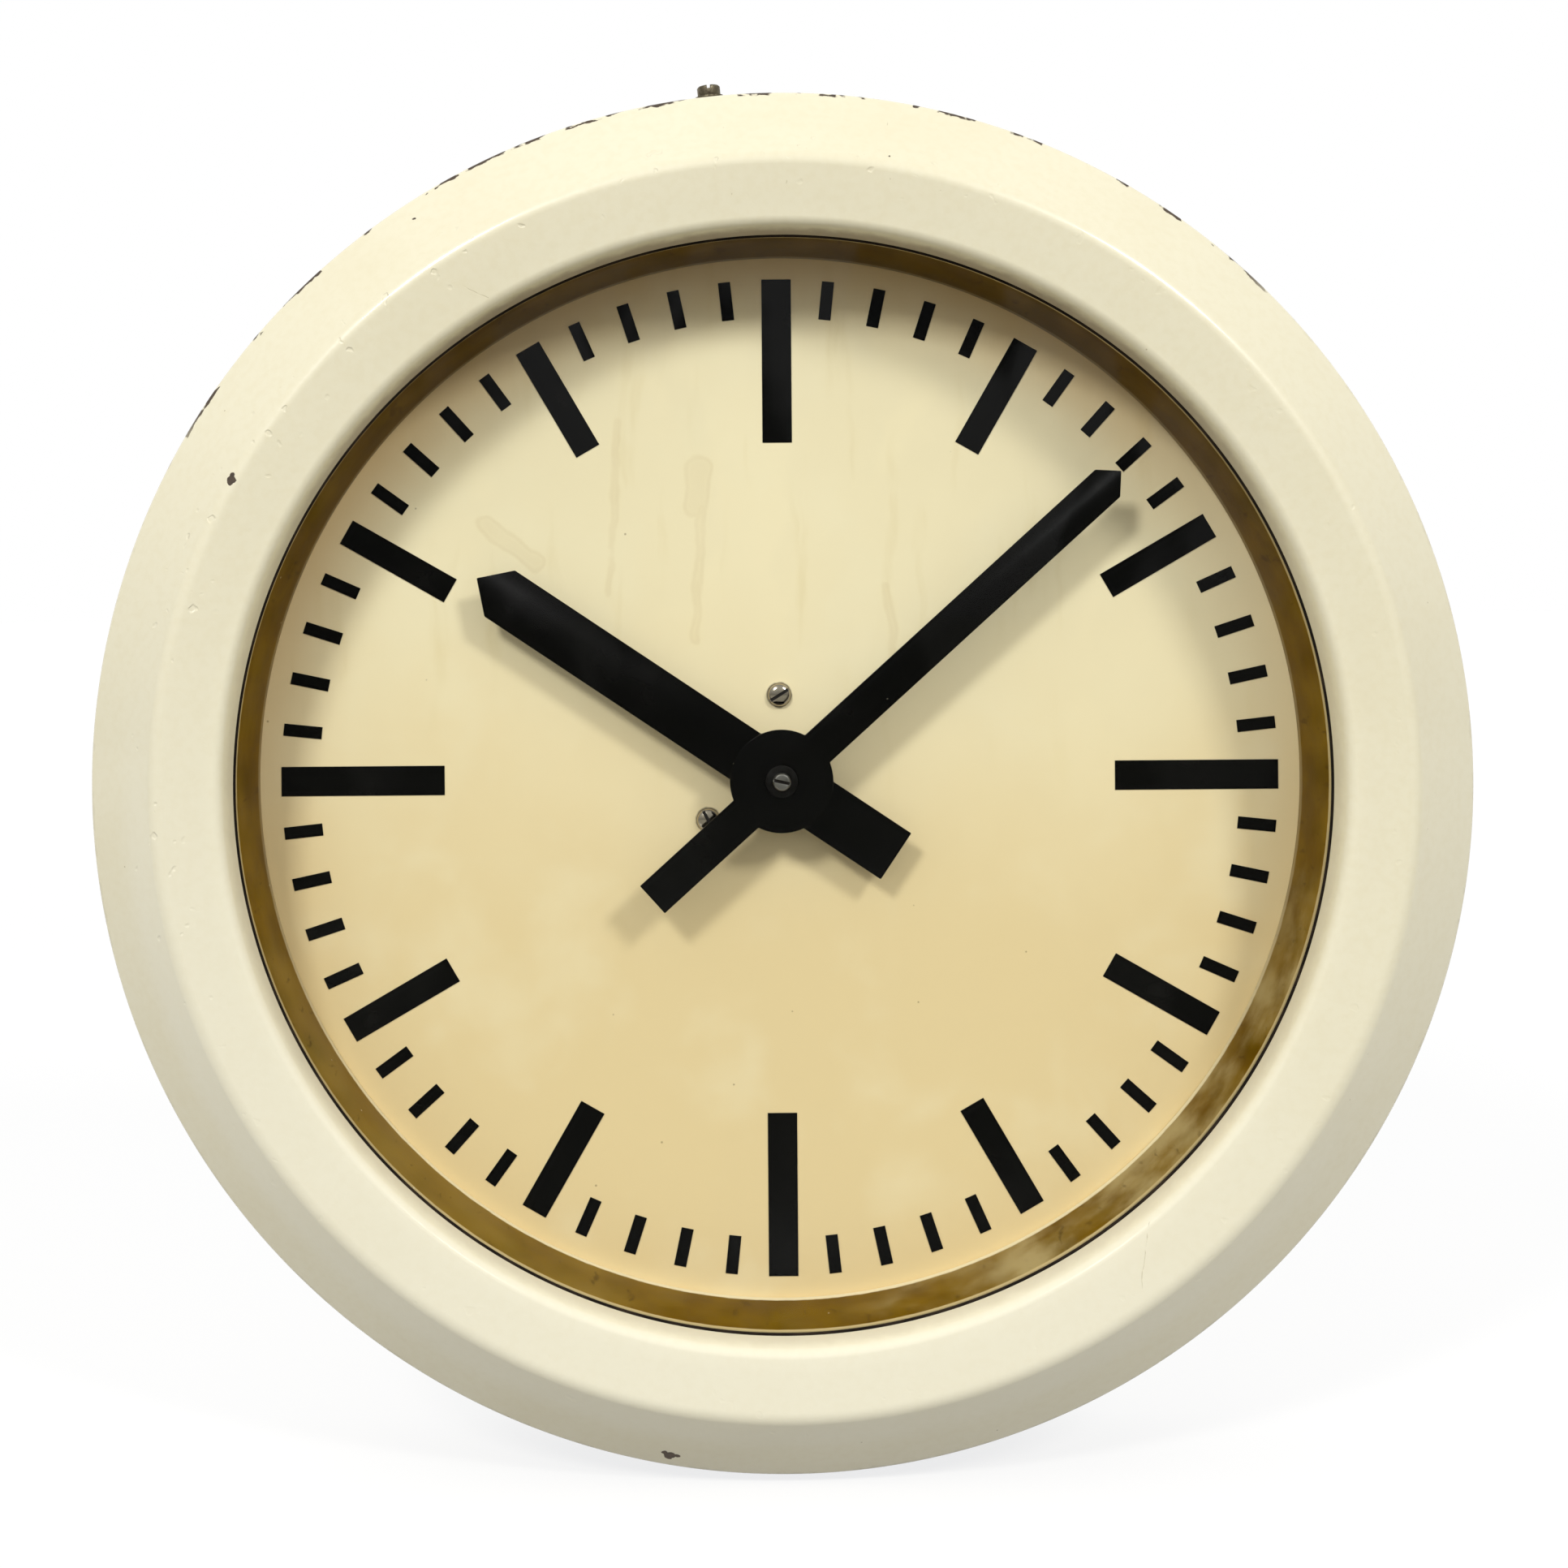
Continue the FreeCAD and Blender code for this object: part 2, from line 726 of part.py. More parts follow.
def closing_parts():
    """The closing screw, its washer and its nut, drawn with z away from the clock's axis."""
    rotation = turned(size.closing_lean + 90) * LAY_ALONG_X
    washer_seat = size.rim_radius + size.washer_gap
    head_seat = washer_seat + size.closing_washer_thickness + size.fit_gap
    screw = slotted_screw(size.closing_shank_radius, size.closing_shank_length, size.closing_head_radius,
                          size.closing_head_height, head_seat)
    keep("closing_screw", screw, z=size.closing_depth, rotation=rotation)
    hole = size.closing_shank_radius + size.thread_gap
    washer = tube(size.closing_washer_radius, hole, washer_seat, size.closing_washer_thickness)
    keep("closing_washer", washer, z=size.closing_depth, rotation=rotation)
    nut_seat = CASE_INNER - size.closing_nut_height - size.weld_gap
    width = size.closing_nut_width
    nut = block(-width / 2, -width / 2, nut_seat, width, width, size.closing_nut_height)
    nut_hole = bore(hole, nut_seat, size.closing_nut_height)
    keep("closing_nut", cut(nut, nut_hole), z=size.closing_depth, rotation=rotation)


# Glass

def glass_parts():
    keep("glass", cylinder(size.glass_radius, size.glass_back_depth, size.glass_thickness))
    lip_length = square_root(size.lip_taper * size.lip_taper + size.lip_height * size.lip_height)
    lip_seat = size.lip_end_depth - size.case_sheet * size.lip_taper / lip_length
    bottom = GLASS_FRONT + size.seat_gap
    height = lip_seat - size.seat_gap - bottom
    keep("glass_gasket", tube(size.gasket_outer_radius, size.gasket_inner_radius, bottom, height))


def glass_frame():
    """A channel ring welded behind the ring's face: the glass lies in it and the clips hold on to it."""
    slope = size.face_fall / size.face_width
    skin = size.case_sheet * square_root(slope * slope + 1) + size.weld_gap

    def behind_face(radius):
        return size.lip_corner_depth + slope * (radius - size.lip_corner_radius) - skin

    web = FRAME_INNER + size.frame_sheet
    corners = [
        (FRAME_INNER, FRAME_REAR),
        (FRAME_OUTER, FRAME_REAR),
        (FRAME_OUTER, FRAME_REAR + size.frame_sheet),
        (web, FRAME_REAR + size.frame_sheet),
        (web, behind_face(web) - size.frame_sheet),
        (FRAME_OUTER, behind_face(FRAME_OUTER) - size.frame_sheet),
        (FRAME_OUTER, behind_face(FRAME_OUTER)),
        (FRAME_INNER, behind_face(FRAME_INNER)),
    ]
    body = new_body("glass_frame")
    section = new_sketch(body, "section", "XZ_Plane")
    draw_outline(section, corners)
    doc.recompute()
    revolve(body, section)
    hole_radius = size.small_screw_radius + size.thread_gap
    hole = drill(body, FRAME_REAR + size.frame_sheet, [(hole_radius, CLIP_SPOT, 0)])
    repeat(body, hole, size.clip_count)
    keep("glass_frame", body)


def glass_clips():
    bottom = FRAME_REAR - size.seat_gap - size.clip_thickness
    start = size.glass_radius - size.clip_reach
    clips = []
    screws = []
    for angle in CLIP_ANGLES:
        strip = block(start, -size.clip_width / 2, bottom,
                      FRAME_OUTER - size.clip_margin - start, size.clip_width, size.clip_thickness)
        hole = bore(size.small_screw_radius + size.thread_gap, bottom, size.clip_thickness, CLIP_SPOT)
        clips.append(place(cut(strip, hole), rotation=turned(angle)))
        screw = slotted_screw(size.small_screw_radius, size.clip_screw_length, size.small_head_radius,
                              size.small_head_height)
        x, y = around(CLIP_SPOT, angle)
        screws.append(place(screw, x, y, bottom - size.fit_gap, FACE_BACK))
    keep("glass_clips", *clips)
    keep("clip_screws", *screws)


# Dial

def dial():
    body = new_body("dial")
    disc = new_sketch(body, "disc", "XY_Plane", size.dial_back_depth)
    draw_circle(disc, size.dial_radius)
    pad(body, disc, size.dial_thickness)
    screw_hole = size.screw_radius + size.thread_gap
    holes = [(size.dial_centre_hole, 0, 0)]
    holes += [(screw_hole, *around(size.dial_screw_circle, angle)) for angle in DIAL_SCREW_ANGLES]
    holes += [(screw_hole, *around(size.edge_screw_circle, angle)) for angle in BRACKET_ANGLES]
    drill(body, size.dial_front_depth, holes)
    keep("dial", body)


def dial_bars():
    """Enamel bars: long ones at the quarters, shorter ones at the other hours, short ones at the minutes."""
    sizes = {
        "quarter_bars": (size.quarter_bar_length, size.quarter_bar_width),
        "hour_bars": (size.hour_bar_length, size.hour_bar_width),
        "minute_bars": (size.minute_bar_length, size.minute_bar_width),
    }
    bars = {kind: [] for kind in sizes}
    for minute in range(HOURS * MINUTES_PER_HOUR):
        kind = "minute_bars"
        if minute % MINUTES_PER_HOUR == 0:
            hour = minute // MINUTES_PER_HOUR
            kind = "quarter_bars" if hour % (HOURS // 4) == 0 else "hour_bars"
        length, width = sizes[kind]
        angle = 360 * minute / (HOURS * MINUTES_PER_HOUR)
        inner_x, inner_y = around(size.mark_outer_radius - length, angle)
        side_x, side_y = around(width / 2, angle - 90)
        bar = block(0, 0, 0, length, width, size.mark_thickness)
        place(bar, inner_x + side_x, inner_y + side_y, size.dial_front_depth, turned(angle))
        bars[kind].append(bar)
    for kind, group in bars.items():
        keep(kind, *group)


def inner_band():
    """The ring between dial and glass, with a flange on the dial that the edge screws hold."""
    bottom = size.dial_front_depth + size.seat_gap
    corners = [
        (size.band_front_radius, size.band_front_depth),
        (size.band_dial_radius, bottom),
        (size.dial_radius, bottom),
    ]
    body = sheet_body("inner_band", corners, size.band_sheet, {})
    holes = [(size.screw_radius + size.thread_gap, *around(size.edge_screw_circle, angle))
             for angle in BRACKET_ANGLES]
    drill(body, bottom + size.band_sheet, holes)
    keep("inner_band", body)


def dial_brackets():
    top = size.dial_back_depth - size.seat_gap
    start = size.edge_screw_circle - size.edge_hole_inset
    end = CASE_INNER - size.weld_gap * 2
    arm_bottom = top - size.bracket_thickness
    seat = size.dial_front_depth + size.seat_gap * 2 + size.band_sheet
    brackets = []
    screws = []
    for angle in BRACKET_ANGLES:
        arm = block(start, -size.bracket_width / 2, arm_bottom,
                    end - start, size.bracket_width, size.bracket_thickness)
        leg = block(end - size.bracket_thickness, -size.bracket_width / 2, top - size.bracket_leg,
                    size.bracket_thickness, size.bracket_width, size.bracket_leg)
        hole = bore(size.screw_radius + size.thread_gap, arm_bottom, size.bracket_thickness,
                    size.edge_screw_circle)
        brackets.append(place(cut(fuse(arm, leg), hole), rotation=turned(angle)))
        screw = slotted_screw(size.screw_radius, size.edge_screw_length, size.screw_head_radius,
                              size.screw_head_height)
        x, y = around(size.edge_screw_circle, angle)
        screws.append(place(screw, x, y, seat))
    keep("dial_brackets", *brackets)
    keep("dial_edge_screws", *screws)


def dial_posts():
    posts = []
    screws = []
    bottom = PLATE_FRONT + size.seat_gap
    height = size.dial_back_depth - size.seat_gap - bottom
    for angle in DIAL_SCREW_ANGLES:
        x, y = around(size.dial_screw_circle, angle)
        post = cylinder(size.dial_post_radius, bottom, height, x, y)
        rivet_length = size.plate_thickness + size.seat_gap
        rivet = cylinder(size.screw_radius, size.front_plate_depth, rivet_length, x, y)
        thread = cylinder(size.screw_radius + size.thread_gap, bottom + size.seat_gap, height, x, y)
        posts.append(cut(fuse(post, rivet), thread))
        screw = slotted_screw(size.screw_radius, size.dial_screw_length, size.screw_head_radius,
                              size.screw_head_height)
        screws.append(place(screw, x, y, size.dial_front_depth + size.seat_gap, turned(angle)))
    keep("dial_posts", *posts)
    keep("dial_screws", *screws)


# Hands

def hand(node, length, tail, width, hub, hole, depth, angle):
    """A straight hand with a right-angled point, a square tail and a round hub."""
    body = new_body(node)
    bar = new_sketch(body, "bar", "XY_Plane")
    half = width / 2
    shoulder = length - half
    draw_outline(bar, [(-half, -tail), (half, -tail), (half, shoulder), (0, length), (-half, shoulder)])
    pad(body, bar, size.hand_sheet)
    disc = new_sketch(body, "disc", "XY_Plane")
    draw_circle(disc, hub)
    pad(body, disc, size.hand_sheet)
    drill(body, size.hand_sheet, [(hole, 0, 0)])
    keep(node, body, z=depth, rotation=turned(-angle))


def hands():
    hand("hour_hand", size.hour_hand_length, size.hour_hand_tail, size.hour_hand_width, size.hour_hub_radius,
         size.hour_pipe_radius + size.fit_gap, size.hour_hand_depth, size.hour_hand_angle)
    hand("minute_hand", size.minute_hand_length, size.minute_hand_tail, size.minute_hand_width,
         size.minute_hub_radius, size.cannon_pipe_radius + size.fit_gap, size.minute_hand_depth,
         size.minute_hand_angle)
    hour_bottom = size.hour_hand_depth - size.hour_collet_height
    keep("hour_collet", tube(size.hour_collet_radius, size.hour_pipe_radius + size.fit_gap,
                             hour_bottom, size.hour_collet_height - size.fit_gap))
    minute_bottom = size.minute_hand_depth - size.minute_collet_height
    keep("minute_collet", tube(size.minute_collet_radius, size.cannon_pipe_radius + size.fit_gap,
                               minute_bottom, size.minute_collet_height - size.fit_gap))
    washer_seat = HAND_TOP + size.fit_gap
    keep("hand_washer", tube(size.hand_washer_radius, size.small_screw_radius + size.thread_gap,
                             washer_seat, size.hand_washer_thickness))
    screw_seat = washer_seat + size.hand_washer_thickness + size.fit_gap
    keep("hand_screw", slotted_screw(size.small_screw_radius, size.hand_screw_length, size.small_head_radius,
                                     size.small_head_height, screw_seat))


# Frame of the movement

def plate(node, bottom, holes):
    body = new_body(node)
    outline = new_sketch(body, "outline", "XY_Plane", bottom)
    half, top, low = size.plate_half_width, size.plate_top, -size.plate_bottom
    draw_outline(outline, [(-half, low), (half, low), (half, top), (-half, top)])
    blank = pad(body, outline, size.plate_thickness)
    upright = [f"Edge{number}" for number, edge in enumerate(blank.Shape.Edges, 1)
               if abs(edge.tangentAt(edge.FirstParameter).z) > 0.5]
    corners = body.newObject("PartDesign::Fillet", "corners")
    corners.Base = (blank, upright)
    bind(corners, "Radius", size.plate_corner)
    doc.recompute()
    drill(body, bottom + size.plate_thickness, holes)
    keep(node, body)


def plates():
    pivot = size.pivot_radius + size.running_gap
    screw = size.small_screw_radius + size.thread_gap
    shared = [(pivot, INTERMEDIATE_X, INTERMEDIATE_Y), (pivot, ROTOR_X, ROTOR_Y)]
    shared += [(screw, x, y) for x, y in PILLAR_SPOTS]
    screw_x = size.pole_leg_offset + size.pole_leg_width / 2
    screw_y = ROTOR_Y - size.pole_screw_drop
    back_holes = [(size.minute_pivot_radius + size.running_gap, 0, 0), (screw, ROTOR_X + screw_x, screw_y),
                  (screw, ROTOR_X - screw_x, screw_y)]
    plate("back_plate", size.back_plate_depth, shared + back_holes)
    front_holes = [(size.bush_radius + size.fit_gap, 0, 0),
                   (size.stud_radius + size.fit_gap, STUD_X, STUD_Y)]
    front_holes += [(size.screw_radius + size.fit_gap, *around(size.dial_screw_circle, angle))
                    for angle in DIAL_SCREW_ANGLES]
    plate("front_plate", size.front_plate_depth, shared + front_holes)


def pillars():
    waist_bottom = PLATE_BACK + size.seat_gap
    waist = size.front_plate_depth - size.seat_gap - waist_bottom
    front_nut_seat = PLATE_FRONT + size.seat_gap
    back_nut_top = size.back_plate_depth - size.seat_gap
    rod_bottom = back_nut_top - size.nut_height
    rod_length = front_nut_seat + size.nut_height - rod_bottom
    posts = []
    nuts = []
    for x, y in PILLAR_SPOTS:
        posts.append(place(fuse(cylinder(size.pillar_radius, waist_bottom, waist),
                                cylinder(size.small_screw_radius, rod_bottom, rod_length)), x, y))
        for bottom in (front_nut_seat, rod_bottom):
            nut = cut(hexagon(size.nut_radius, bottom, size.nut_height),
                      bore(size.small_screw_radius + size.thread_gap, bottom, size.nut_height))
            nuts.append(place(nut, x, y))
    keep("plate_pillars", *posts)
    keep("plate_nuts", *nuts)


def centre_bush():
    collar_seat = PLATE_FRONT + size.seat_gap
    length = collar_seat + size.bush_collar_height - size.front_plate_depth
    sleeve = cylinder(size.bush_radius, size.front_plate_depth, length)
    collar = cylinder(size.bush_collar_radius, collar_seat, size.bush_collar_height)
    hole = bore(size.minute_arbor_radius + size.running_gap, size.front_plate_depth, length)
    keep("centre_bush", cut(fuse(sleeve, collar), hole))


# Wheels and arbors

def arbor(node, x, y):
    """An arbor between the plates, with a thinner pivot in each."""
    shoulder = PLATE_BACK + size.end_shake
    length = size.front_plate_depth - size.end_shake - shoulder
    shaft = cylinder(size.arbor_radius, shoulder, length)
    pivots = cylinder(size.pivot_radius, size.back_plate_depth, PLATE_FRONT - size.back_plate_depth)
    keep(node, fuse(shaft, pivots), x=x, y=y)


def going_train():
    """Rotor, intermediate arbor and minute arbor: thirty turns of the rotor make one of the minute hand."""
    shoulder = PLATE_BACK + size.end_shake
    shaft = cylinder(size.minute_arbor_radius, shoulder, HAND_TOP - shoulder)
    pivot_length = shoulder + size.overrun - size.back_plate_depth
    pivot = cylinder(size.minute_pivot_radius, size.back_plate_depth, pivot_length)
    thread = cylinder(size.small_screw_radius + size.thread_gap, HAND_TOP - size.hand_screw_length,
                      size.hand_screw_length + size.overrun)
    keep("minute_arbor", cut(fuse(shaft, pivot), thread))
    arbor("intermediate_arbor", INTERMEDIATE_X, INTERMEDIATE_Y)
    arbor("rotor_arbor", ROTOR_X, ROTOR_Y)

    hole = size.arbor_radius + size.fit_gap
    proud = (size.pinion_length - size.wheel_thickness) / 2
    gear("centre_wheel", size.centre_teeth, size.first_mesh_depth, size.wheel_thickness,
         size.minute_arbor_radius + size.fit_gap)
    turn = mesh_turn(0.0, size.centre_teeth, size.pinion_teeth, size.intermediate_bearing)
    gear("intermediate_pinion", size.pinion_teeth, size.first_mesh_depth - proud, size.pinion_length, hole,
         INTERMEDIATE_X, INTERMEDIATE_Y, turn)
    gear("intermediate_wheel", size.intermediate_teeth, size.second_mesh_depth, size.wheel_thickness, hole,
         INTERMEDIATE_X, INTERMEDIATE_Y)
    turn = mesh_turn(0.0, size.intermediate_teeth, size.pinion_teeth, size.rotor_bearing)
    gear("rotor_pinion", size.pinion_teeth, size.second_mesh_depth - proud, size.pinion_length, hole,
         ROTOR_X, ROTOR_Y, turn)
    magnet_bottom = COIL_DEPTH - size.magnet_length / 2
    magnet = tube(size.magnet_radius, hole, magnet_bottom, size.magnet_length)
    keep("rotor_magnet", magnet, x=ROTOR_X, y=ROTOR_Y)


def motion_work():
    """Cannon pinion, motion wheel and hour wheel: the hour hand turns once in twelve hours."""
    proud = (size.pinion_length - size.wheel_thickness) / 2
    pipe_hole = size.minute_arbor_radius + size.fit_gap
    cannon_bottom = size.cannon_mesh_depth - proud / 2
    gear("cannon_pinion", size.cannon_teeth, cannon_bottom, size.wheel_thickness + proud, pipe_hole)
    pipe_bottom = cannon_bottom + size.wheel_thickness + proud
    keep("cannon_pipe", tube(size.cannon_pipe_radius, pipe_hole, pipe_bottom, HAND_TOP - pipe_bottom))

    stud_hole = size.stud_radius + size.running_gap
    turn = mesh_turn(0.0, size.cannon_teeth, size.motion_teeth, size.stud_bearing)
    gear("motion_wheel", size.motion_teeth, size.cannon_mesh_depth, size.wheel_thickness, stud_hole,
         STUD_X, STUD_Y, turn)
    pinion_bottom = size.cannon_mesh_depth + size.wheel_thickness + size.fit_gap
    gear("motion_pinion", size.pinion_teeth, pinion_bottom, size.pinion_length, stud_hole, STUD_X, STUD_Y)
    turn = mesh_turn(0.0, size.pinion_teeth, size.hour_teeth, size.stud_bearing - 180)
    hour_hole = size.cannon_pipe_radius + size.running_gap
    gear("hour_wheel", size.hour_teeth, size.hour_mesh_depth, size.wheel_thickness,
         size.hour_pipe_radius + size.fit_gap, turn=turn)
    pipe_top = size.hour_hand_depth + size.hand_sheet
    pipe_length = pipe_top - size.hour_mesh_depth
    keep("hour_pipe", tube(size.hour_pipe_radius, hour_hole, size.hour_mesh_depth, pipe_length))

    clip_bottom = pinion_bottom + size.pinion_length + size.end_shake
    stud_top = clip_bottom + size.stud_clip_thickness
    shoulder = cylinder(size.stud_clip_radius, PLATE_FRONT + size.seat_gap,
                        size.cannon_mesh_depth - size.end_shake - PLATE_FRONT)
    stud = cylinder(size.stud_radius, size.front_plate_depth, stud_top - size.front_plate_depth)
    keep("motion_stud", fuse(shoulder, stud), x=STUD_X, y=STUD_Y)
    keep("motion_clip", tube(size.stud_clip_radius, size.stud_radius + size.fit_gap, clip_bottom,
                             size.stud_clip_thickness), x=STUD_X, y=STUD_Y)


# Stator, coil and terminals

def stator():
    poles = []
    screws = []
    top = ROTOR_Y + size.pole_half_height
    bottom = -size.coil_drop - size.pole_half_height
    reach = size.pole_leg_offset + size.pole_leg_width
    seat = POLE_BOTTOM + size.pole_thickness + size.seat_gap
    for side in (1, -1):
        left = 0 if side > 0 else -reach
        leg_left = size.pole_leg_offset if side > 0 else -reach
        screw_x = (size.pole_leg_offset + size.pole_leg_width / 2) * side
        screw_y = ROTOR_Y - size.pole_screw_drop
        arm = block(left, ROTOR_Y - size.pole_half_height, POLE_BOTTOM,
                    reach, size.pole_half_height * 2, size.pole_thickness)
        leg = block(leg_left, bottom, POLE_BOTTOM, size.pole_leg_width, top - bottom, size.pole_thickness)
        gap = bore(size.magnet_radius + size.air_gap, POLE_BOTTOM, size.pole_thickness, 0, ROTOR_Y)
        hole = bore(size.small_screw_radius + size.thread_gap, POLE_BOTTOM, size.pole_thickness,
                    screw_x, screw_y)
        poles.append(cut(fuse(arm, leg), gap, hole))
        screw = slotted_screw(size.small_screw_radius, size.stator_screw_length, size.small_head_radius,
                              size.small_head_height)
        screws.append(place(screw, screw_x, screw_y, seat))
    keep("pole_pieces", *poles, x=ROTOR_X)
    keep("stator_screws", *screws, x=ROTOR_X)


def coil():
    """Core, bobbin and winding, drawn with z along the coil."""
    spot = {"x": ROTOR_X, "y": -size.coil_drop, "z": COIL_DEPTH, "rotation": LAY_ALONG_X}
    keep("coil_core", cylinder(size.core_radius, -COIL_HALF, COIL_HALF * 2), **spot)
    half = COIL_HALF - size.seat_gap
    barrel = size.core_radius + size.fit_gap + size.bobbin_wall
    flange = size.bobbin_flange_thickness
    spool = fuse(cylinder(barrel, -half, half * 2),
                 cylinder(size.bobbin_flange_radius, -half, flange),
                 cylinder(size.bobbin_flange_radius, half - flange, flange))
    keep("coil_bobbin", cut(spool, bore(size.core_radius + size.fit_gap, -half, half * 2)), **spot)
    wound = half - flange - size.seat_gap
    keep("coil_winding", tube(size.winding_radius, barrel + size.fit_gap, -wound, wound * 2), **spot)


def terminals():
    back = size.case_sheet + size.seat_gap
    front = back + size.terminal_depth
    low = -size.terminal_top_drop - size.terminal_height
    body = block(-size.terminal_width / 2, low, back,
                 size.terminal_width, size.terminal_height, size.terminal_depth)
    chord = COIL_DEPTH - size.lead_depth - size.lead_radius
    winding_drop = square_root(size.winding_radius * size.winding_radius - chord * chord)
    lead_top = -size.coil_drop - winding_drop - size.seat_gap
    lead_end = -size.terminal_top_drop - size.lead_entry
    screw_y = -size.terminal_top_drop - size.terminal_screw_inset
    cutters = []
    leads = []
    screws = []
    for x in (size.lead_offset, -size.lead_offset):
        entry = cylinder(size.lead_radius + size.seat_gap, 0, size.lead_entry + size.overrun + size.seat_gap)
        cutters.append(place(entry, x, lead_end - size.seat_gap, size.lead_depth, LAY_ALONG_Y))
        lead = cylinder(size.lead_radius, 0, lead_top - lead_end)
        leads.append(place(lead, x, lead_end, size.lead_depth, LAY_ALONG_Y))
        screw_hole = cylinder(size.small_screw_radius + size.thread_gap, front - size.terminal_screw_length,
                              size.terminal_screw_length + size.overrun, x, screw_y)
        cutters.append(screw_hole)
        screw = slotted_screw(size.small_screw_radius, size.terminal_screw_length - size.seat_gap,
                              size.small_head_radius, size.small_head_height)
        screws.append(place(screw, x, screw_y, front + size.fit_gap))
    keep("terminal_block", cut(body, *cutters))
    keep("coil_leads", *leads, x=ROTOR_X)
    keep("terminal_screws", *screws)


def export():
    """Check every object, then write each sub-part to a file of its own."""
    doc.recompute()
    for thing in doc.Objects:
        if "Invalid" in thing.State or "Error" in thing.State:
            raise ValueError(f"{thing.Label} did not build: {thing.State}")
    os.makedirs("parts", exist_ok=True)
    for part in nodes:
        if part.Shape.isNull() or not part.Shape.isValid() or not part.Shape.Solids:
            raise ValueError(f"{part.Label} has no sound shape")
        part.Shape.exportStep(f"parts/{part.Label}.step")


front_ring()
rear_case()
cable_bush()
closing_parts()
glass_parts()
glass_frame()
glass_clips()
dial()
dial_bars()
inner_band()
dial_brackets()
dial_posts()
hands()
plates()
pillars()
centre_bush()
going_train()
motion_work()
stator()
coil()
terminals()
export()
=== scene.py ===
# %% [markdown]
# # A factory wall clock
# The clock is a slave dial in a pressed steel case: cream paint, a flat glass, a bronzed band, an aged
# dial with enamel bars, and two black hands. The packed CAD model is the frame that everything is
# built on. We load it first and note its box, because the finished model may not grow out of it.

# %% Load the frame
import json
import math

import bmesh
import bpy
from mathutils import Matrix, Vector

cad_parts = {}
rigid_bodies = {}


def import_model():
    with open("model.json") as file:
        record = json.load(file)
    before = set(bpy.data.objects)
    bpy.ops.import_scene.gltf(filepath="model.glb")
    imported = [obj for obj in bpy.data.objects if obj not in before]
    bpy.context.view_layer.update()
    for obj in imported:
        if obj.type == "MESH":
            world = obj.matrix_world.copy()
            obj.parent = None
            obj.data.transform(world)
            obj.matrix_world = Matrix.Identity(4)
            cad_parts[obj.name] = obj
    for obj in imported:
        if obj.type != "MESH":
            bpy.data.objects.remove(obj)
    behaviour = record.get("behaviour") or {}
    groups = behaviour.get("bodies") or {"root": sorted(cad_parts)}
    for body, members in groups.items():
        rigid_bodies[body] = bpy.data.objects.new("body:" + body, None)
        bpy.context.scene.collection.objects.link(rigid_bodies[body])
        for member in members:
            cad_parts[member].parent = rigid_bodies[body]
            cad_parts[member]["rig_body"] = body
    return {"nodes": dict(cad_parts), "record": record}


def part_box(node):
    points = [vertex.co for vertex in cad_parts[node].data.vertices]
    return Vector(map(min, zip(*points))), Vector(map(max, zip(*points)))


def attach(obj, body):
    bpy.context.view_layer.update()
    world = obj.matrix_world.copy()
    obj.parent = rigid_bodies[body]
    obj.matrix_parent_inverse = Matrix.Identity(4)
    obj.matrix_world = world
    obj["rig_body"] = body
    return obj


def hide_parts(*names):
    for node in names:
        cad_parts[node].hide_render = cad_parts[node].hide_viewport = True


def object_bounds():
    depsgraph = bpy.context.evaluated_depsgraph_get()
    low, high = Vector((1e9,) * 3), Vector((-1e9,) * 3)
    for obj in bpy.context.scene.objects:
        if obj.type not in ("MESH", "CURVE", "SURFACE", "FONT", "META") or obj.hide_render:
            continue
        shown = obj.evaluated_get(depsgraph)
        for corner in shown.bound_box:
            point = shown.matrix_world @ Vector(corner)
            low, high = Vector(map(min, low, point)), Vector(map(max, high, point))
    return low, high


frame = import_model()
cad_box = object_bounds()
scene = bpy.context.scene
slot_of = {part["node"]: part["material_slot"] for part in frame["record"]["subparts"]}
print("CAD box in metres:", [tuple(round(c, 4) for c in corner) for corner in cad_box])

# %% [markdown]
# ## Camera
# The photograph was taken from a little above and to the left of the clock, with the lens square to
# it: the rings all stay round, and nearer rings only slide down and to the right. A tilted camera
# would squeeze them, so the camera looks straight along the clock's axis and the lens is shifted
# instead. The clock hangs turned by about half a degree, which is a roll of the camera here.

# %% Make the camera
PHOTO_SIDE = 1932
FOCAL_PIXELS = 3072.8
AXIS_PIXEL = (849.0, 735.0)
SENSOR = 36.0
EYE_PLACE = (-0.028, -0.8244, 0.057)
EYE_ROLL = 0.45

eye = bpy.data.cameras.new("eye")
eye.sensor_width = SENSOR
eye.lens = SENSOR * FOCAL_PIXELS / PHOTO_SIDE
eye.shift_x = 0.5 - AXIS_PIXEL[0] / PHOTO_SIDE
eye.shift_y = AXIS_PIXEL[1] / PHOTO_SIDE - 0.5
eye.clip_start = 0.01
camera = bpy.data.objects.new("eye", eye)
camera.location = EYE_PLACE
camera.rotation_euler = (math.radians(90), math.radians(EYE_ROLL), 0)
scene.collection.objects.link(camera)
scene.camera = camera
scene.view_settings.view_transform = "Standard"
print("lens", round(eye.lens, 2), "mm, shift", round(eye.shift_x, 4), round(eye.shift_y, 4))

# %% [markdown]
# ## Writing finishes as sums
# A finish is a tree of shader nodes. Clicking dozens of Math nodes together is hard to read, so a
# small class wraps a socket, and Python's operators on it add the Math nodes.


